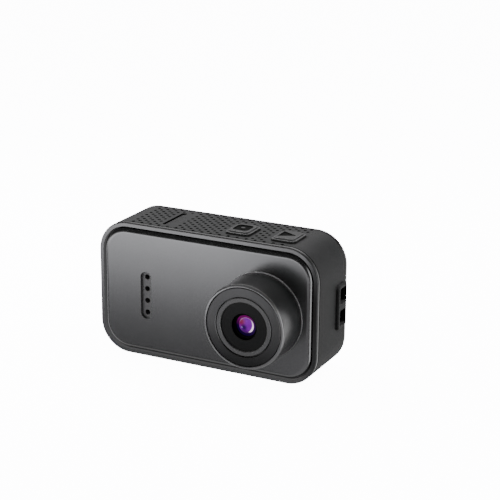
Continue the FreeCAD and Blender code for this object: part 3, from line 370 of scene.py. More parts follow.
@dataclass(frozen=True)
class SeamFinish(Finish):
    """A finish with painted shade in the parting lines between the shell and the rims."""

    seam: float = 8.2 * MM
    seam_half: float = 0.19 * MM

    def shaded(self, tree: ShaderTree) -> bpy.types.NodeSocket:
        """How deep in shade the point is, from 0 to 1.

        Args:
            tree: Where the nodes go.

        Returns:
            The shade.
        """
        _, y, _ = tree.axes()
        away = tree.maths("ABSOLUTE", tree.maths("SUBTRACT", tree.maths("ABSOLUTE", y), self.seam))
        return tree.spread(away, self.seam_half * 0.6, self.seam_half, 1.0, 0.0)

    def colours(self, tree: ShaderTree) -> bpy.types.NodeSocket:
        """The finish's colour, going dark where it is in shade.

        Args:
            tree: Where the nodes go.

        Returns:
            The colour.
        """
        # Painted shade: in the parting lines the colour falls to a tenth of itself and the gloss to nothing.
        shade = self.shaded(tree)
        tree.set(Specular_IOR_Level=tree.spread(shade, 0.0, 1.0, self.specular, 0.0))
        return tree.blend(shade, Finish.colours(self, tree), tuple(c * 0.1 for c in self.colour))


@dataclass(frozen=True)
class RimFinish(SeamFinish):
    """Painted rim, with painted light: a faint glow on the walls that face into the gap round the plate."""

    wall_left: float = -20.0 * MM
    wall_low: float = 14.0 * MM
    wall_painted_glow: float = 0.07

    def colours(self, tree: ShaderTree) -> bpy.types.NodeSocket:
        """The paint's colour, with painted shade on the right-hand side.

        Args:
            tree: Where the nodes go.

        Returns:
            The colour.
        """
        x, _, _ = tree.axes()
        # Painted shade: the rim goes darker towards its right-hand edge.
        right_painted_shade = tree.spread(x, 28 * MM, 31.5 * MM, 0.0, 0.62)
        return tree.blend(right_painted_shade, SeamFinish.colours(self, tree), grey(0.0))

    def fill(self, tree: ShaderTree) -> None:
        """Sets up the material's nodes.

        Args:
            tree: Where the nodes go.
        """
        SeamFinish.fill(self, tree)
        parts = tree.add("ShaderNodeSeparateXYZ")
        tree.feed(parts.inputs[0], tree.add("ShaderNodeNewGeometry").outputs["Normal"])
        x, _, z = tree.axes()
        # Painted light: the left walls that face right and the low walls that face up glow faintly.
        left = tree.product(tree.spread(parts.outputs[0], 0.3, 0.7, 0.0, 1.0),
                            tree.spread(x, self.wall_left, self.wall_left - 2 * MM, 0.0, 1.0))
        low = tree.product(tree.spread(parts.outputs[2], 0.3, 0.7, 0.0, 1.0),
                           tree.spread(z, self.wall_low, self.wall_low - 2 * MM, 0.0, 1.0))
        tree.set(Emission_Color=grey(self.wall_painted_glow), Emission_Strength=tree.maths("MAXIMUM", left, low))


@dataclass(frozen=True)
class ShellFinish(SeamFinish):
    """Moulded shell, with painted shade in the dimples of its grip."""

    top: float = 37.3 * MM
    half_width: float = 24.2 * MM
    scoop_x: float = -12.3 * MM
    scoop_half: float = 1.9 * MM

    def shaded(self, tree: ShaderTree) -> bpy.types.NodeSocket:
        """Painted shade in the seams and in the dimples, but not in the nail scoop.

        Args:
            tree: Where the nodes go.

        Returns:
            The shade.
        """
        x, _, z = tree.axes()
        # Painted shade in the dimples: points just below the top face, clear of the ends and the nail scoop.
        sunk = tree.spread(z, self.top - 0.05 * MM, self.top - 0.015 * MM, 1.0, 0.0)
        middle = tree.spread(tree.maths("ABSOLUTE", x), self.half_width - 0.1 * MM, self.half_width, 1.0, 0.0)
        shallow = tree.spread(z, self.top - 1.6 * MM, self.top - 1.5 * MM, 0.0, 1.0)
        scoop = tree.maths("ABSOLUTE", tree.maths("SUBTRACT", x, self.scoop_x))
        beside = tree.spread(scoop, self.scoop_half, self.scoop_half + 0.1 * MM, 0.0, 1.0)
        dimple_painted_shade = tree.product(sunk, middle, shallow, beside)
        return tree.maths("MAXIMUM", dimple_painted_shade, SeamFinish.shaded(self, tree))


@dataclass(frozen=True)
class ButtonFinish(Finish):
    """Moulded button with a painted highlight on its rounded upper edge and painted shade down its sides."""

    def colours(self, tree: ShaderTree) -> bpy.types.NodeSocket:
        """The moulding's colour with painted light: a highlight on the rounded edge and shade on the sides.

        Args:
            tree: Where the nodes go.

        Returns:
            The colour.
        """
        parts = tree.add("ShaderNodeSeparateXYZ")
        tree.feed(parts.inputs[0], tree.add("ShaderNodeNewGeometry").outputs["Normal"])
        up = parts.outputs[2]
        face = Finish.colours(self, tree)
        # Painted highlight: the rounded upper edge is made 2.6 times lighter.
        edge = tree.product(tree.spread(up, 0.25, 0.6, 0.0, 1.0), tree.spread(up, 0.85, 0.99, 1.0, 0.0))
        face = tree.blend(edge, face, tuple(c * 2.6 for c in self.colour))
        # Painted shade: the steep sides go nearly black.
        return tree.blend(tree.spread(up, 0.1, 0.3, 0.9, 0.0), face, grey(0.004))


@dataclass(frozen=True)
class AnchorFinish(SeamFinish):
    """Strap anchor, with painted shade inside its windows."""

    mouth: float = 33.2 * MM

    def shaded(self, tree: ShaderTree) -> bpy.types.NodeSocket:
        """Painted shade that grows with the depth below the anchor's face."""
        x, _, _ = tree.axes()
        return tree.spread(x, self.mouth - 1.6 * MM, self.mouth - 0.9 * MM, 1.0, 0.0)


@dataclass(frozen=True)
class BarrelFinish(Finish):
    """Anodised barrel with a painted highlight on its front edge."""

    front: float = -20.3 * MM
    lip_depth: float = 0.72 * MM

    def colours(self, tree: ShaderTree) -> bpy.types.NodeSocket:
        """The anodised colour, with a painted highlight on the front edge.

        Args:
            tree: Where the nodes go.

        Returns:
            The colour.
        """
        _, y, _ = tree.axes()
        # Painted highlight: a thin band at the front edge is made 2.2 times lighter.
        lip_painted_highlight = tree.spread(y, self.front + self.lip_depth, self.front + self.lip_depth - 0.06 * MM, 0.0, 1.0)
        return tree.blend(lip_painted_highlight, Finish.colours(self, tree), tuple(c * 2.2 for c in self.colour))


@dataclass(frozen=True)
class TrimFinish(Finish):
    """Turned trim ring, with painted shade that darkens it towards its lowest part."""

    reach: float = 9.5 * MM

    def colours(self, tree: ShaderTree) -> bpy.types.NodeSocket:
        """The anodised colour with painted shade, graded from the lowest part to the middle.

        Args:
            tree: Where the nodes go.

        Returns:
            The colour.
        """
        _, _, z = tree.axes()
        above = tree.maths("SUBTRACT", z, LensAssembly.AXIS_Z)
        # Painted shade: the lower half darkens to about a third of the colour.
        graded = tree.spread(above, -self.reach, 0.0, 0.0, 1.0)
        return tree.blend(graded, tuple(c * 0.35 for c in self.colour), Finish.colours(self, tree))


@dataclass(frozen=True)
class BaffleFinish(Finish):
    """Turned baffle, with painted shade inside its hole."""

    hole: float = 3.58 * MM

    def colours(self, tree: ShaderTree) -> bpy.types.NodeSocket:
        """The baffle's colour, with painted shade: black and without gloss within the hole's radius.

        Args:
            tree: Where the nodes go.

        Returns:
            The colour.
        """
        # Painted shade: inside the hole the colour and the gloss go to nothing.
        inside = tree.spread(self.axis_distance(tree), self.hole, self.hole - 0.05 * MM, 0.0, 1.0)
        tree.set(Specular_IOR_Level=tree.spread(inside, 0.0, 1.0, self.specular, 0.0))
        return tree.blend(inside, Finish.colours(self, tree), grey(0.0))


@dataclass(frozen=True)
class LensCoating(Finish):
    """Coated front element with painted, glowing reflections: magenta above, violet inside, a window's image
    in it.
    """

    radius: float = 2.9 * MM
    inner_edge: tuple[float, float] = (0.66, 0.74)
    rim_below: Colour = (0.006, 0.0, 0.03)
    rim_above: Colour = (0.15, 0.0, 0.11)
    rim_right: Colour = (0.022, 0.0, 0.07)
    violet: Colour = (0.20, 0.006, 0.37)
    crimson: Colour = (0.22, 0.0, 0.07)
    deep: Colour = (0.03, 0.0, 0.07)
    navy: Colour = (0.006, 0.0, 0.06)
    arc: Colour = (0.5, 0.3, 0.5)
    glint: Colour = (0.4, 0.4, 0.7)
    window: Colour = (1.9, 1.35, 1.8)

    def build(self) -> bpy.types.Material:
        """Makes the material: the coating's colours and the images in it are painted reflections that glow.

        Returns:
            The material.
        """
        tree = ShaderTree(self.name)
        x, _, z = tree.axes()
        right = tree.maths("DIVIDE", tree.maths("SUBTRACT", x, LensAssembly.AXIS_X), self.radius)
        up = tree.maths("DIVIDE", tree.maths("SUBTRACT", z, LensAssembly.AXIS_Z), self.radius)
        out = self.away(tree, right, up, 0.0, 0.0)
        body = tree.blend(tree.spread(out, *self.inner_edge, 0.0, 1.0), self.core(tree, right, up),
                          self.rim(tree, right, up))
        ridge = tree.maths("ABSOLUTE", tree.maths("SUBTRACT", out, sum(self.inner_edge) / 2))
        # Painted reflection: a thin pale arc along the inner edge, strongest above.
        thin = tree.product(tree.spread(ridge, 0.015, 0.045, 1.0, 0.0), tree.spread(up, 0.1, 0.5, 0.05, 0.5))
        body = tree.blend(thin, body, self.arc)
        # Painted glint: a small pale blue spot at the lower left.
        spot = tree.spread(self.away(tree, right, up, -0.42, -0.22), 0.03, 0.11, 0.5, 0.0)
        body = tree.blend(spot, body, self.glint)
        # Painted reflection of a window: a pale crescent right of the middle.
        body = tree.blend(self.crescent(tree, right, up), body, self.window)
        # Painted light: the coating's colours and reflections glow by emission, with a faint ripple.
        ripple = tree.spread(tree.noise(0.5 * MM, 2.0), 0.3, 0.7, 0.85, 1.15)
        tree.set(Base_Color=grey(0.002), Roughness=0.06, Specular_IOR_Level=0.15, Emission_Color=body,
                 Emission_Strength=ripple)
        return tree.material

    def rim(self, tree: ShaderTree, right: object, up: object) -> bpy.types.NodeSocket:
        """The painted reflection near the element's rim: magenta above, nearly black below and to the right.
        """
        edge = tree.blend(tree.spread(up, -0.1, 0.55, 0.0, 1.0), self.rim_below, self.rim_above)
        return tree.blend(tree.spread(right, 0.25, 0.75, 0.0, 0.8), edge, self.rim_right)

    def core(self, tree: ShaderTree, right: object, up: object) -> bpy.types.NodeSocket:
        """The painted reflection in the coating's middle: violet, crimson at the upper left, with a navy spot
        and a deep foot.

        Args:
            tree: Where the nodes go.
            right: The point's place along X, in lens radii.
            up: The point's place along Z, in lens radii.

        Returns:
            The colour.
        """
        near = tree.spread(self.away(tree, right, up, -0.5, 0.3), 0.15, 0.55, 1.0, 0.0)
        middle = tree.blend(near, self.violet, self.crimson)
        middle = tree.blend(tree.spread(up, -0.3, -0.62, 0.0, 0.85), middle, self.deep)
        spot = tree.spread(self.away(tree, right, up, -0.2, -0.2), 0.12, 0.4, 0.85, 0.0)
        return tree.blend(spot, middle, self.navy)

    @staticmethod
    def away(tree: ShaderTree, right: object, up: object, centre_right: float, centre_up: float) -> object:
        """The distance from a centre, in lens radii.

        Args:
            tree: Where the nodes go.
            right: The point's place along X.
            up: The point's place along Z.
            centre_right: The centre's place along X.
            centre_up: The centre's place along Z.

        Returns:
            The distance.
        """
        across = tree.maths("SUBTRACT", right, centre_right)
        above = tree.maths("SUBTRACT", up, centre_up)
        return tree.maths("SQRT", tree.maths("ADD", tree.product(across, across), tree.product(above, above)))

    def crescent(self, tree: ShaderTree, right: object, up: object) -> bpy.types.NodeSocket:
        """The painted reflection of a window in an inner element, curved, right of the middle.

        Args:
            tree: Where the nodes go.
            right: The point's place along X, in lens radii.
            up: The point's place along Z, in lens radii.

        Returns:
            How much of the image lies there, from 0 to 1.
        """
        inside = tree.spread(self.away(tree, right, up, 0.0, 0.0), *self.inner_edge, 1.0, 0.0)
        outside = tree.spread(self.away(tree, right, up, -0.20, 0.10), 0.76, 0.84, 0.0, 1.0)
        return tree.product(inside, outside, tree.spread(up, -0.62, -0.5, 0.0, 1.0))


@dataclass(frozen=True)
class ScreenPicture(Finish):
    """An empty desert under a blue sky, drawn by formulas, shown by the rear screen."""

    centre: tuple[float, float] = SCREEN_CENTRE
    size: tuple[float, float] = SCREEN_SIZE
    glow: float = 1.5
    horizon: float = 0.44
    # Each range of dunes: its height, its swell, the length of its swells, its seed, and its shaded
    # and lit colours.
    ranges: tuple = (
        (0.475, 0.060, 0.16, 0.3, ((0.16, 0.10, 0.09), (0.27, 0.16, 0.13))),
        (0.415, 0.100, 0.34, 4.1, ((0.42, 0.10, 0.03), (0.80, 0.32, 0.10))),
        (0.290, 0.130, 0.45, 7.7, ((0.50, 0.15, 0.04), (1.00, 0.50, 0.20))),
        (0.125, 0.140, 0.60, 12.4, ((0.26, 0.08, 0.03), (0.95, 0.40, 0.15))),
    )
    # Each bush: its place across and up, its half width and half height.
    bushes: tuple = ((0.91, 0.36, 0.045, 0.055), (0.12, 0.40, 0.022, 0.02), (0.30, 0.33, 0.02, 0.022),
                     (0.62, 0.40, 0.015, 0.018))
    bush_colour: Colour = (0.10, 0.055, 0.03)

    def build(self) -> bpy.types.Material:
        """Makes the material, from the sky forwards to the nearest dune.

        Returns:
            The material.
        """
        tree = ShaderTree(self.name)
        x, _, z = tree.axes()
        # The screen is seen from behind, so its left is +X.
        u = tree.spread(x, self.centre[0] + self.size[0] / 2, self.centre[0] - self.size[0] / 2, 0.0, 1.0)
        v = tree.spread(z, self.centre[1] - self.size[1] / 2, self.centre[1] + self.size[1] / 2, 0.0, 1.0)
        place = self.joined(tree, u, v, 0.0)
        picture = self.sky(tree, u, v)
        for height, swell, feature, seed, colours in self.ranges:
            ridge = tree.spread(tree.noise(feature, 3.0, self.joined(tree, u, 0.0, seed)), 0.0, 1.0,
                                height - swell, height + swell)
            depth = tree.maths("SUBTRACT", ridge, v)
            sand = self.sand(tree, place, seed, colours)
            sand = tree.blend(tree.spread(depth, 0.0, 0.22, 0.0, 0.55), sand, colours[0])
            picture = tree.blend(tree.spread(depth, -0.003, 0.003, 0.0, 1.0), picture, sand)
        picture = self.shrubs(tree, u, v, picture)
        tree.set(Base_Color=grey(0.004), Roughness=0.12, Coat_Weight=1.0, Coat_Roughness=0.02,
                 Emission_Color=picture, Emission_Strength=self.glow)
        return tree.material

    @staticmethod
    def joined(tree: ShaderTree, *parts: object) -> bpy.types.NodeSocket:
        """A vector made of three parts.

        Args:
            tree: Where the nodes go.
            *parts: Its X, Y and Z.

        Returns:
            The vector.
        """
        node = tree.add("ShaderNodeCombineXYZ")
        for socket, part in zip(node.inputs, parts):
            tree.feed(socket, part)
        return node.outputs[0]

    def sky(self, tree: ShaderTree, u: object, v: object) -> bpy.types.NodeSocket:
        """Deep blue above, pale at the horizon, a little lighter towards the right.

        Args:
            tree: Where the nodes go.
            u: The place across the picture, from 0 to 1.
            v: The place up the picture, from 0 to 1.

        Returns:
            The colour.
        """
        height = tree.spread(v, self.horizon, 1.0, 0.0, 1.0)
        deep = tree.ramp(height, [
            (0.0, (0.80, 0.90, 0.92)), (0.25, (0.42, 0.66, 0.86)), (0.6, (0.10, 0.34, 0.68)),
            (1.0, (0.03, 0.16, 0.46))])
        haze = tree.product(tree.spread(u, 0.3, 1.1, 0.0, 0.6), tree.spread(height, 0.3, 1.0, 0.4, 1.0))
        return tree.blend(haze, deep, (0.34, 0.58, 0.80))

    def sand(self, tree: ShaderTree, place: object, seed: float, colours: tuple[Colour, Colour]) -> object:
        """Wind-streaked sand between two colours.

        Args:
            tree: Where the nodes go.
            place: The place in the picture, from 0 to 1 each way.
            seed: Sets this dune's own pattern.
            colours: Its shaded and its lit colour.

        Returns:
            The colour.
        """
        stretch = tree.add("ShaderNodeMapping")
        tree.feed(stretch.inputs["Vector"], place)
        stretch.inputs["Location"].default_value = (seed, seed * 0.7, 0.0)
        stretch.inputs["Rotation"].default_value = (0.0, 0.0, -0.16)
        stretch.inputs["Scale"].default_value = (1.0, 5.5, 1.0)
        streaks = tree.spread(tree.noise(0.28, 6.0, stretch.outputs[0]), 0.38, 0.62, 0.0, 1.0)
        return tree.blend(streaks, colours[0], colours[1])

    def shrubs(self, tree: ShaderTree, u: object, v: object, under: object) -> bpy.types.NodeSocket:
        """A few dark bushes on the dunes.

        Args:
            tree: Where the nodes go.
            u: The place across the picture, from 0 to 1.
            v: The place up the picture, from 0 to 1.
            under: The picture so far.

        Returns:
            The picture with the bushes.
        """
        for bush_u, bush_v, half_u, half_v in self.bushes:
            across = tree.maths("DIVIDE", tree.maths("SUBTRACT", u, bush_u), half_u)
            above = tree.maths("DIVIDE", tree.maths("SUBTRACT", v, bush_v), half_v)
            out = tree.maths("SQRT", tree.maths("ADD", tree.product(across, across),
                                                tree.product(above, above)))
            leaves = tree.noise(0.02, 3.0, self.joined(tree, u, v, 0.0))
            ragged = tree.maths("ADD", out, tree.spread(leaves, 0.3, 0.7, -0.4, 0.4))
            under = tree.blend(tree.spread(ragged, 0.75, 1.05, 0.8, 0.0), under, self.bush_colour)
        return under


@dataclass(frozen=True)
class BoardFinish(Finish):
    """Solder mask over copper tracks."""

    def colours(self, tree: ShaderTree) -> bpy.types.NodeSocket:
        """Dark mask with lighter tracks that run square to each other.

        Args:
            tree: Where the nodes go.

        Returns:
            The colour.
        """
        base = Finish.colours(self, tree)
        brick = tree.add("ShaderNodeTexBrick")
        tree.feed(brick.inputs["Vector"], tree.place())
        tree.feed(brick.inputs["Scale"], 1.0 / (4 * MM))
        tree.feed(brick.inputs["Mortar Size"], 0.05)
        return tree.blend(brick.outputs["Fac"], base, tuple(c * 1.9 for c in self.colour))


class Finishes:
    """Every finish of the camera, each built once."""

    def __init__(self) -> None:
        """Builds the materials."""
        painted, turned, polished = Grain.PAINTED, Grain.TURNED, Grain.POLISHED
        finishes = (
            ShellFinish("shell_moulding", grey(0.042), 0.5, grain_size=0.16 * MM, grain_depth=0.004 * MM,
                        specular=0.07),
            AnchorFinish("anchor_moulding", grey(0.042), 0.5, grain_size=0.16 * MM, grain_depth=0.004 * MM,
                         specular=0.07),
            RimFinish("rim_paint", grey(0.18), 0.3, 0.85, painted, 0.3 * MM, 0.0004 * MM, 0.04),
            Finish("plate_paint", grey(0.20), 0.24, 0.96, painted, 0.3 * MM, 0.0003 * MM, 0.02),
            Finish("grille_paint", grey(0.17), 0.42, 0.5, painted, 0.12 * MM, 0.003 * MM, 0.04),
            BarrelFinish("barrel_anodised", grey(0.12), 0.3, 0.82, painted, 0.3 * MM, 0.0005 * MM, 0.04),
            Finish("bright_turned", grey(0.3), 0.4, 0.2, turned, 0.12 * MM, 0.001 * MM, 0.04),
            TrimFinish("trim_satin", grey(0.105), 0.34, 0.9, turned, 0.12 * MM, 0.001 * MM, 0.05),
            Finish("inner_ring_satin", grey(0.15), 0.42, 0.5, turned, 0.12 * MM, 0.001 * MM, 0.05),
            BaffleFinish("baffle_black", grey(0.012), 0.36, 0.6, turned, 0.12 * MM, 0.001 * MM, 0.1),
            Finish("cell_black", grey(0.001), 0.5, 0.0, turned, 0.2 * MM, 0.001 * MM, 0.1, specular=0.08),
            ButtonFinish("button_moulding", grey(0.045), 0.44, grain_size=0.14 * MM, grain_depth=0.007 * MM),
            Finish("icon_black", grey(0.003), 0.5, grain_size=0.1 * MM, grain_depth=0.004 * MM,
                   specular=0.05),
            Finish("dark_plastic", grey(0.012), 0.5),
            Finish("glass_black", grey(0.0035), 0.05, 0.0, polished, 30 * MM, mottle=0.02, coat=1.0,
                   coat_roughness=0.015),
            Finish("card_black", grey(0.012), 0.38, grain_size=0.1 * MM, grain_depth=0.004 * MM),
            Finish("silicone", grey(0.02), 0.75, grain_size=0.3 * MM),
            Finish("adhesive_foam", grey(0.012), 0.9, grain_size=0.15 * MM, grain_depth=0.02 * MM),
            Finish("clear_optic", (0.55, 0.62, 0.66), 0.05, 0.0, polished, 20 * MM, coat=1.0),
            BoardFinish("solder_mask", (0.006, 0.05, 0.022), 0.35, grain_size=0.4 * MM,
                        grain_depth=0.01 * MM),
            Finish("chip_epoxy", grey(0.02), 0.55, grain_size=0.08 * MM),
            Finish("tinned_can", grey(0.55), 0.35, 1.0, painted, 0.3 * MM, 0.01 * MM),
            Finish("nickel", grey(0.5), 0.25, 1.0, painted, 0.12 * MM, 0.004 * MM, 0.06),
            Finish("gold_contact", (0.85, 0.58, 0.22), 0.22, 1.0, painted, 0.1 * MM, 0.002 * MM),
            Finish("blasted_alloy", grey(0.5), 0.45, 1.0, painted, 0.12 * MM, 0.01 * MM),
            Finish("machined_brass", (0.62, 0.42, 0.16), 0.26, 1.0, painted, 0.2 * MM, 0.004 * MM, 0.1),
            Finish("pouch_foil", grey(0.32), 0.38, 0.6, painted, 0.9 * MM, 0.02 * MM),
            Finish("polyimide", (0.34, 0.15, 0.02), 0.4, grain_size=0.5 * MM),
            Finish("white_tray", grey(0.7), 0.5),
            Finish("panel_dark", grey(0.01), 0.1, 0.0, polished, 20 * MM),
        )
        self.materials = {finish.name: finish.build() for finish in finishes}
        self.materials["lens_coating"] = LensCoating("lens_coating", grey(0.01)).build()
        self.materials["screen_picture"] = ScreenPicture("screen_picture", grey(0.01)).build()

    def get(self, name: str) -> bpy.types.Material:
        """The material of that finish."""
        return self.materials[name]


class Workshop:
    """Holds the frame, makes mesh pieces and dresses them."""

    def __init__(self, frame: dict, finishes: Finishes) -> None:
        """Keeps what every sub-assembly needs.

        Args:
            finishes: The built finishes.
        """
        self.nodes = frame["nodes"]
        self.finishes = finishes

    def dress(self, node: str, finish: str) -> None:
        """Gives a CAD node its finish.

        Args:
            node: The node's name.
            finish: The finish's name.
        """
        mesh = self.nodes[node].data
        mesh.materials.clear()
        mesh.materials.append(self.finishes.get(finish))
        LOG.info("%s: %s", node, finish)

    def piece(self, name: str, shape: bmesh.types.BMesh, finish: str, body: str = CAMERA_BODY,
              smooth: float = 30.0) -> bpy.types.Object:
        """Turns a bmesh into a finished piece that rides on a body.

        Args:
            name: The piece's name.
            shape: Its mesh, freed here.
            finish: The finish's name.
            body: The body that it moves with.
            smooth: Edges under this many degrees are shaded smooth.

        Returns:
            The object.
        """
        bmesh.ops.recalc_face_normals(shape, faces=shape.faces)
        mesh = bpy.data.meshes.new(name)
        shape.to_mesh(mesh)
        shape.free()
        mesh.materials.append(self.finishes.get(finish))
        mesh.shade_smooth()
        mesh.set_sharp_from_angle(angle=math.radians(smooth))
        made = bpy.data.objects.new(name, mesh)
        bpy.context.scene.collection.objects.link(made)
        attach(made, body)
        LOG.info("%s: %d faces, on %s", name, len(mesh.polygons), body)
        return made


def rounded_outline(width: float, height: float, radius: float, steps: int = 12) -> list[tuple[float, float]]:
    """Corners of a rounded rectangle about the origin, in order.

    Args:
        width: Full width.
        height: Full height.
        radius: Corner radius.
        steps: Segments in each corner.

    Returns:
        The points.
    """
    points = []
    for turn, (side_x, side_y) in enumerate(((1, 1), (-1, 1), (-1, -1), (1, -1))):
        centre = (side_x * (width / 2 - radius), side_y * (height / 2 - radius))
        for step in range(steps + 1):
            angle = math.pi / 2 * (turn + step / steps)
            points.append((centre[0] + radius * math.cos(angle), centre[1] + radius * math.sin(angle)))
    return points


def plate(outline: Sequence[tuple[float, float]], placed: Matrix, thickness: float,
          edge: float) -> bmesh.types.BMesh:
    """A flat plate with a small bevel round its upper edge.

    Args:
        outline: Its outline in its own X and Y.
        placed: Takes its own axes to the row frame, with its upper face towards its own +Z.
        thickness: How thick it is.
        edge: The bevel's width.

    Returns:
        The mesh.
    """
    shape = bmesh.new()
    base = shape.faces.new([shape.verts.new((x, y, 0.0)) for x, y in outline])
    grown = bmesh.ops.extrude_face_region(shape, geom=[base])
    top = [v for v in grown["geom"] if isinstance(v, bmesh.types.BMVert)]
    bmesh.ops.translate(shape, verts=top, vec=(0.0, 0.0, thickness))
    upper = [e for e in shape.edges if all(v in set(top) for v in e.verts)]
    bmesh.ops.bevel(shape, geom=upper, offset=edge, segments=3, profile=0.5, affect="EDGES")
    bmesh.ops.transform(shape, matrix=placed, verts=shape.verts)
    return shape


def add_box(shape: bmesh.types.BMesh, centre: Vector, size: Vector) -> None:
    """Adds a box to a mesh.

    Args:
        shape: The mesh.
        centre: The box's middle.
        size: Its full size along X, Y and Z.
    """
    place = Matrix.Translation(centre) @ Matrix.Diagonal((*size, 1.0))
    bmesh.ops.create_cube(shape, size=1.0, matrix=place)


@dataclass
class Body:
    """Shell, rims and the fittings in its sides and base."""

    port_depth: float = 6.2 * MM
    tongue_length: float = 4.5 * MM
    tongue_thickness: float = 0.7 * MM
    contact_count: int = 12
    contact_pitch: float = 0.5 * MM
    contact_width: float = 0.28 * MM
    contact_length: float = 2.9 * MM
    contact_inset: float = 0.35 * MM
    contact_thickness: float = 0.04 * MM
    socket_radius: float = 3.175 * MM
    socket_depth: float = 5.0 * MM
    thread_pitch: float = 1.27 * MM
    thread_height: float = 0.5 * MM
    thread_bite: float = 0.02 * MM

    def dress(self, shop: Workshop) -> None:
        """Gives the shell and its fittings their finishes.

        Args:
            shop: Makes and dresses the pieces.
        """
        for node, finish in (("main_shell", "shell_moulding"), ("front_rim", "rim_paint"),
                             ("rear_rim", "rim_paint"), ("strap_anchor", "anchor_moulding"),
                             ("tripod_insert", "machined_brass"),
                             ("usb_c_receptacle", "nickel"), ("speaker", "dark_plastic")):
            shop.dress(node, finish)
        self.port_contacts(shop)
        self.socket_thread(shop)

    def port_contacts(self, shop: Workshop) -> None:
        """Rows of gold contacts on both faces of the port's tongue.

        Args:
            shop: Makes and dresses the pieces.
        """
        low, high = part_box("usb_c_receptacle")
        tip = low.x + (self.port_depth - self.tongue_length) + self.contact_inset
        middle_y, middle_z = (low.y + high.y) / 2, (low.z + high.z) / 2
        shape = bmesh.new()
        for number in range(self.contact_count):
            z = middle_z + (number - (self.contact_count - 1) / 2) * self.contact_pitch
            for side in (-1, 1):
                y = middle_y + side * (self.tongue_thickness + self.contact_thickness) / 2
                add_box(shape, Vector((tip + self.contact_length / 2, y, z)),
                        Vector((self.contact_length, self.contact_thickness, self.contact_width)))
        shop.piece("port_contacts", shape, "gold_contact")

    def socket_thread(self, shop: Workshop) -> None:
        """The screw thread cut in the tripod socket: one helical ridge on its wall.

        Args:
            shop: Makes and dresses the pieces.
        """
        shape = bmesh.new()
        steps = 48
        rise = self.thread_pitch / steps
        first = self.thread_pitch * 0.6
        count = int((self.socket_depth - 2 * first) / rise)
        root = self.socket_radius + self.thread_bite
        rings = []
        for step in range(count + 1):
            angle = 2 * math.pi * step / steps
            z = first + rise * step
            fade = min(1.0, step / 12, (count - step) / 12)
            crest = self.socket_radius - self.thread_height * fade
            profile = ((root, -0.42), (crest, -0.06), (crest, 0.06), (root, 0.42))
            rings.append([shape.verts.new((radius * math.cos(angle), radius * math.sin(angle),
                                           z + up * self.thread_pitch)) for radius, up in profile])
        for ring, following in zip(rings, rings[1:]):
            for corner in range(4):
                after = (corner + 1) % 4
                shape.faces.new((ring[corner], following[corner], following[after], ring[after]))
        shape.faces.new(rings[0])
        shape.faces.new(rings[-1][::-1])
        bmesh.ops.recalc_face_normals(shape, faces=shape.faces)
        shop.piece("socket_thread", shape, "machined_brass")


class FrontFace:
    """Front plate with its microphone slot."""

    def dress(self, shop: Workshop) -> None:
        """Gives the plate and what is behind its slot their finishes.

        Args:
            shop: Makes and dresses the pieces.
        """
        for node, finish in (("front_plate", "plate_paint"), ("microphone_grille", "grille_paint"),
                             ("microphone_mesh", "cell_black"), ("microphone_capsules", "tinned_can"),
                             ("microphone_board", "solder_mask"), ("front_gasket", "adhesive_foam")):
            shop.dress(node, finish)


class LensAssembly:
    """The lens on its axis along Y."""

    AXIS_X = 16.8 * MM
    AXIS_Z = 18.05 * MM

    def dress(self, shop: Workshop) -> None:
        """Gives the rings and elements their finishes.

        Args:
            shop: Makes and dresses the pieces.
        """
        for node, finish in (("lens_barrel", "barrel_anodised"), ("lens_base_ring", "bright_turned"),
                             ("lens_trim_ring", "trim_satin"), ("lens_inner_ring", "inner_ring_satin"),
                             ("lens_baffle", "baffle_black"), ("lens_cell", "cell_black"),
                             ("front_lens", "lens_coating"), ("lens_spacer", "cell_black"),
                             ("rear_lens_group", "clear_optic"), ("lens_holder", "dark_plastic"),
                             ("lens_seal", "silicone"), ("ir_filter", "clear_optic"),
                             ("image_sensor", "chip_epoxy"),
                             ("sensor_board", "solder_mask"), ("sensor_flex", "polyimide"),
                             ("lens_holder_screws", "nickel")):
            shop.dress(node, finish)


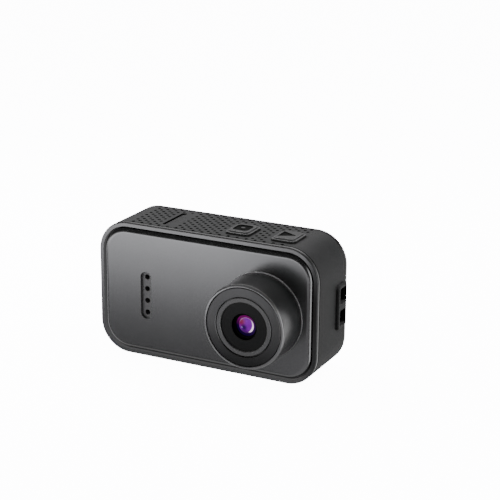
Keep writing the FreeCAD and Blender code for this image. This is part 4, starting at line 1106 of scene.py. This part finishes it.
@dataclass
class TopButtons:
    """The two buttons, with dark inlays in their icons."""

    record_x: float = 7.4 * MM
    power_x: float = 20.6 * MM
    y: float = -2.0 * MM
    icon_floor: float = 38.0 * MM
    inlay: float = 0.08 * MM
    square: tuple[float, float, float] = (4.5 * MM, 4.9 * MM, 1.1 * MM)
    triangle: tuple[float, float] = (4.4 * MM, 4.5 * MM)
    gap: float = 0.04 * MM

    def dress(self, shop: Workshop) -> None:
        """Gives buttons and switches their finishes and lays in the icons.

        Args:
            shop: Makes and dresses the pieces.
        """
        for node, finish in (("record_button", "button_moulding"), ("power_button", "button_moulding"),
                             ("button_carrier", "dark_plastic"), ("button_pads", "silicone"),
                             ("button_board", "solder_mask"), ("tact_switches", "tinned_can")):
            shop.dress(node, finish)
        self.record_inlay(shop)
        self.power_inlay(shop)

    def record_inlay(self, shop: Workshop) -> None:
        """Dark floor of the rounded square, open round its centre stud.

        Args:
            shop: Makes and dresses the pieces.
        """
        width, length, radius = self.square
        shape = bmesh.new()
        outer = rounded_outline(width - 2 * self.gap, length - 2 * self.gap, radius - self.gap, 8)
        count = len(outer)
        stud = 0.6 * MM
        loops = []
        for height in (0.0, self.inlay):
            ring = [shape.verts.new((x, y, height)) for x, y in outer]
            hole = [shape.verts.new((stud * math.cos(a), stud * math.sin(a), height))
                    for a in (math.atan2(y, x) for x, y in outer)]
            loops.append((ring, hole))
        (low, low_hole), (high, high_hole) = loops
        for i in range(count):
            j = (i + 1) % count
            shape.faces.new((high[i], high[j], high_hole[j], high_hole[i]))
            shape.faces.new((low[j], low[i], low_hole[i], low_hole[j]))
            shape.faces.new((low[i], low[j], high[j], high[i]))
            shape.faces.new((low_hole[j], low_hole[i], high_hole[i], high_hole[j]))
        place = Matrix.Translation((self.record_x, self.y, self.icon_floor))
        bmesh.ops.transform(shape, matrix=place, verts=shape.verts)
        shop.piece("record_icon_inlay", shape, "icon_black", "record_button")

    def power_inlay(self, shop: Workshop) -> None:
        """Dark floor of the triangle.

        Args:
            shop: Makes and dresses the pieces.
        """
        length, width = self.triangle
        left = -length / 2 + self.gap
        half = width / 2 - 2 * self.gap
        outline = [(left, -half), (length / 2 - 2.4 * self.gap, 0.0), (left, half)]
        place = Matrix.Translation((self.power_x, self.y, self.icon_floor))
        shape = plate(outline, place, self.inlay, 0.02 * MM)
        shop.piece("power_icon_inlay", shape, "icon_black", "power_button")


@dataclass
class CardPort:
    """The memory card and its socket."""

    contact_count: int = 8
    contact_pitch: float = 1.1 * MM
    contact_size: tuple[float, float, float] = (0.03 * MM, 0.8 * MM, 2.9 * MM)
    contact_inset: float = 0.5 * MM
    contact_offset: float = 0.6 * MM

    def dress(self, shop: Workshop) -> None:
        """Gives the card and its socket their finishes.

        Args:
            shop: Makes and dresses the pieces.
        """
        for node, finish in (("memory_card", "card_black"), ("card_reader", "tinned_can"),
                             ("card_board", "solder_mask")):
            shop.dress(node, finish)
        low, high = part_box("memory_card")
        shape = bmesh.new()
        middle = (low.y + high.y) / 2 - self.contact_offset
        for number in range(self.contact_count):
            y = middle + (number - (self.contact_count - 1) / 2) * self.contact_pitch
            add_box(shape, Vector((low.x, y, low.z + self.contact_inset + self.contact_size[2] / 2)),
                    Vector(self.contact_size))
        shop.piece("card_contacts", shape, "gold_contact", "memory_card")


@dataclass
class RearScreen:
    """Cover glass with the picture that shows through it."""

    centre: tuple[float, float] = SCREEN_CENTRE
    size: tuple[float, float] = SCREEN_SIZE
    corner: float = 2.8 * MM
    lift: float = 0.02 * MM
    thickness: float = 0.06 * MM

    def dress(self, shop: Workshop) -> None:
        """Gives the glass and what is behind it their finishes and makes the picture.

        Args:
            shop: Makes and dresses the pieces.
        """
        for node, finish in (("rear_glass", "glass_black"), ("rear_adhesive", "adhesive_foam"),
                             ("display_panel", "panel_dark"), ("backlight_tray", "white_tray"),
                             ("display_flex", "polyimide")):
            shop.dress(node, finish)
        self.picture(shop)

    def picture(self, shop: Workshop) -> None:
        """The lit area of the screen, level with the glass.

        Args:
            shop: Makes and dresses the pieces.
        """
        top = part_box("rear_glass")[1].y + self.lift
        outline = rounded_outline(self.size[0], self.size[1], self.corner, 10)
        turn = Matrix(((1, 0, 0, self.centre[0]), (0, 0, 1, top - self.thickness), (0, 1, 0, self.centre[1]),
                       (0, 0, 0, 1)))
        shape = plate(outline, turn, self.thickness, 0.015 * MM)
        shop.piece("screen_picture", shape, "screen_picture")


class InnerParts:
    """Everything sealed inside the body."""

    def dress(self, shop: Workshop) -> None:
        """Gives the hidden parts their finishes.

        Args:
            shop: Makes and dresses the pieces.
        """
        for node, finish in (("inner_frame", "blasted_alloy"), ("housing_screws", "nickel"),
                             ("main_board", "solder_mask"), ("board_screws", "nickel"),
                             ("processor_shield", "tinned_can"), ("heat_spreader", "blasted_alloy"),
                             ("memory_chips", "chip_epoxy"), ("board_connectors", "dark_plastic"),
                             ("battery_pack", "pouch_foil"), ("battery_board", "solder_mask"),
                             ("wifi_antenna", "polyimide")):
            shop.dress(node, finish)


@dataclass(frozen=True)
class SoftBox:
    """A soft studio lamp aimed at the camera."""

    name: str
    place: tuple[float, float, float]
    width: float
    height: float
    power: float
    glossy: bool = True

    def build(self, aim: Vector) -> None:
        """Makes the lamp.

        Args:
            aim: The point that it shines at.
        """
        data = bpy.data.lights.new(self.name, "AREA")
        data.shape = "RECTANGLE"
        data.size = self.width
        data.size_y = self.height
        data.energy = self.power
        lamp = bpy.data.objects.new(self.name, data)
        lamp.location = self.place
        lamp.rotation_mode = "QUATERNION"
        lamp.rotation_quaternion = (aim - lamp.location).to_track_quat("-Z", "Y")
        lamp.visible_camera = False
        lamp.visible_glossy = self.glossy
        bpy.context.scene.collection.objects.link(lamp)


class Axis(Enum):
    """The axes of the row frame."""

    X = 0
    Y = 1
    Z = 2


@dataclass(frozen=True)
class Glow:
    """A bright stretch of the room, as only reflections see it, with soft limits by direction."""

    strength: float
    # Each limit: its axis, where the glow is still dark along it and where it is full.
    limits: tuple[tuple[Axis, float, float], ...]

    def build(self, tree: NodeTree, axes: Sequence[bpy.types.NodeSocket]) -> bpy.types.NodeSocket:
        """Makes the glow.

        Args:
            tree: The world's nodes.
            axes: The direction's X, Y and Z.

        Returns:
            Its strength in that direction.
        """
        parts = [tree.spread(axes[axis.value], dark, full, 0.0, 1.0) for axis, dark, full in self.limits]
        return tree.product(self.strength, *parts)


@dataclass(frozen=True)
class FrontCard:
    """A graded card in front of and below the lens, which only reflections see."""

    y: float = -110 * MM
    left: float = -300 * MM
    right: float = 90 * MM
    low: float = -120 * MM
    high: float = 20 * MM
    grade_low: float = -50 * MM
    grade_high: float = 12 * MM
    turn_left: float = -46 * MM
    turn_right: float = -6 * MM
    left_stops: tuple[tuple[float, float], ...] = (
        (0.0, 0.15), (0.36, 0.27), (0.66, 1.5), (0.85, 2.3), (1.0, 3.1))
    right_stops: tuple[tuple[float, float], ...] = (
        (0.2, 0.5), (0.42, 0.4), (0.52, 0.2), (0.6, 0.08), (0.7, 0.6), (0.8, 0.8), (1.0, 0.9))

    def build(self) -> None:
        """Makes the card, which casts no shadow and lights nothing."""
        mesh = bpy.data.meshes.new("front_card")
        corners = [(x, self.y, z) for x, z in ((self.left, self.low), (self.right, self.low),
                                               (self.right, self.high), (self.left, self.high))]
        mesh.from_pydata(corners, [], [(0, 1, 2, 3)])
        tree = ShaderTree("front_card")
        x, _, z = tree.axes()
        height = tree.spread(z, self.grade_low, self.grade_high, 0.0, 1.0)
        left_glow, right_glow = (tree.ramp(height, [(where, grey(value)) for where, value in stops])
                                 for stops in (self.left_stops, self.right_stops))
        glow = tree.blend(tree.spread(x, self.turn_left, self.turn_right, 0.0, 1.0), left_glow, right_glow)
        tree.set(Base_Color=grey(0.0), Specular_IOR_Level=0.0, Emission_Color=glow, Emission_Strength=1.0)
        mesh.materials.append(tree.material)
        made = bpy.data.objects.new("front_card", mesh)
        made.visible_camera = False
        made.visible_diffuse = False
        made.visible_shadow = False
        bpy.context.scene.collection.objects.link(made)


@dataclass
class Studio:
    """Floor, world, lamps, reflecting card and the view."""

    azimuth: float = 26.616
    elevation: float = 17.758
    roll: float = 0.447
    distance: float = 407.0 * MM
    shift_right: float = 7.53 * MM
    shift_up: float = 11.30 * MM
    focal_length: float = 108.73
    middle: Vector = field(default_factory=lambda: Vector((0.0, 0.0, 18.65 * MM)))
    floor_half: float = 4.0
    floor_glow: float = 13.0
    room_glow: float = 13.0
    room_dim: float = 0.04
    glows: tuple[Glow, ...] = (
        # Behind the right-hand side, for the barrel's side.
        Glow(2.3, ((Axis.X, -0.2, 0.3), (Axis.X, 0.75, 0.62), (Axis.Y, 0.4, 0.65), (Axis.Z, 0.42, 0.0),
                   (Axis.Z, -0.8, -0.55))),
        # Behind and above, for the barrel's crown.
        Glow(1.2, ((Axis.X, 0.25, -0.05), (Axis.X, -0.7, -0.5), (Axis.Y, 0.5, 0.7), (Axis.Z, 0.2, 0.35))),
        # A strip at the right, for the bright line on the plate's rounded edge.
        Glow(2.8, ((Axis.X, 0.62, 0.74), (Axis.Y, -0.75, -0.6), (Axis.Y, 0.1, -0.2), (Axis.Z, 0.6, 0.3))),
        # The left.
        Glow(1.3, ((Axis.X, -0.55, -0.85), (Axis.Z, 0.15, -0.1))),
        # The front left, past the ends of the card.
        Glow(3.2, ((Axis.X, 0.15, -0.15), (Axis.Y, -0.3, -0.6), (Axis.Z, 0.1, -0.12), (Axis.Z, -0.4, -0.3))),
        # From below.
        Glow(0.6, ((Axis.Z, -0.45, -0.7),)),
    )

    def build(self) -> None:
        """Makes the whole studio."""
        self.camera()
        self.floor()
        self.world()
        FrontCard().build()
        for lamp in (
            SoftBox("top_lamp", (-0.14, 0.03, 0.20), 0.14, 0.12, 0.6, glossy=False),
            SoftBox("front_lamp", (-0.35, -0.45, 0.30), 0.35, 0.35, 1.2, glossy=False),
            SoftBox("right_lamp", (0.30, 0.15, 0.50), 0.15, 0.3, 2.6, glossy=False),
        ):
            lamp.build(self.middle)

    def camera(self) -> None:
        """Places the camera."""
        turn, lift, roll = (math.radians(a) for a in (self.azimuth, self.elevation, self.roll))
        back = Vector((math.sin(turn) * math.cos(lift), -math.cos(turn) * math.cos(lift), math.sin(lift)))
        right = (-back).cross(Vector((0.0, 0.0, 1.0))).normalized()
        up = right.cross(-back)
        across = math.cos(roll) * right + math.sin(roll) * up
        upward = math.cos(roll) * up - math.sin(roll) * right
        place = self.middle + back * self.distance + right * self.shift_right + up * self.shift_up
        data = bpy.data.cameras.new("view")
        data.lens = self.focal_length
        data.clip_start, data.clip_end = 0.01, 20.0
        made = bpy.data.objects.new("view", data)
        made.matrix_world = Matrix((
            (across.x, upward.x, back.x, place.x), (across.y, upward.y, back.y, place.y),
            (across.z, upward.z, back.z, place.z), (0.0, 0.0, 0.0, 1.0)))
        bpy.context.scene.collection.objects.link(made)
        bpy.context.scene.camera = made

    def floor(self) -> None:
        """A plain pale light table."""
        half = self.floor_half
        mesh = bpy.data.meshes.new("floor")
        mesh.from_pydata([(-half, -half, 0.0), (half, -half, 0.0), (half, half, 0.0), (-half, half, 0.0)], [],
                         [(0, 1, 2, 3)])
        tree = ShaderTree("floor_pale")
        mottled = tree.blend(tree.noise(0.4, 2.0), grey(0.78), grey(0.8))
        tree.set(Base_Color=mottled, Roughness=0.9, Emission_Color=grey(1.0),
                 Emission_Strength=self.floor_glow)
        mesh.materials.append(tree.material)
        made = bpy.data.objects.new("floor", mesh)
        made.visible_glossy = False
        made.visible_diffuse = False
        bpy.context.scene.collection.objects.link(made)

    def world(self) -> None:
        """A pale room as seen, a graded one in reflections, and an even soft light otherwise."""
        world = bpy.data.worlds.new("room")
        bpy.context.scene.world = world
        world.use_nodes = True
        world.node_tree.nodes.clear()
        tree = NodeTree(world.node_tree)
        tree.coordinates = "Generated"
        seen = tree.add("ShaderNodeBackground")
        seen.inputs[1].default_value = self.room_glow
        mirrored = tree.add("ShaderNodeBackground")
        tree.feed(mirrored.inputs[1], self.reflected(tree))
        felt = tree.add("ShaderNodeBackground")
        x, _, z = tree.axes()
        tree.feed(felt.inputs[1], tree.product(tree.spread(z, -1.0, 1.0, 0.25, 0.8),
                                               tree.spread(x, -0.2, 0.8, 1.0, 0.0)))
        path = tree.add("ShaderNodeLightPath")
        glossy, final = tree.add("ShaderNodeMixShader"), tree.add("ShaderNodeMixShader")
        for mix, factor, no, yes in ((glossy, "Is Glossy Ray", felt, mirrored),
                                     (final, "Is Camera Ray", glossy, seen)):
            tree.feed(mix.inputs[0], path.outputs[factor])
            tree.feed(mix.inputs[1], no.outputs[0])
            tree.feed(mix.inputs[2], yes.outputs[0])
        tree.feed(tree.add("ShaderNodeOutputWorld").inputs[0], final.outputs[0])

    def reflected(self, tree: NodeTree) -> bpy.types.NodeSocket:
        """How bright the room looks in a reflection, by direction.

        Args:
            tree: The world's nodes.

        Returns:
            The strength.
        """
        axes = tree.axes()
        total = self.room_dim
        for glow in self.glows:
            total = tree.maths("ADD", total, glow.build(tree, axes))
        return total


def main() -> None:
    """Builds the studio, then dresses every sub-assembly."""
    logging.basicConfig(level=logging.INFO, format="%(name)s: %(message)s")
    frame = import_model()
    Studio().build()
    shop = Workshop(frame, Finishes())
    for part in (Body(), FrontFace(), LensAssembly(), TopButtons(), CardPort(), RearScreen(), InnerParts()):
        part.dress(shop)


if __name__ == "__main__":
    main()
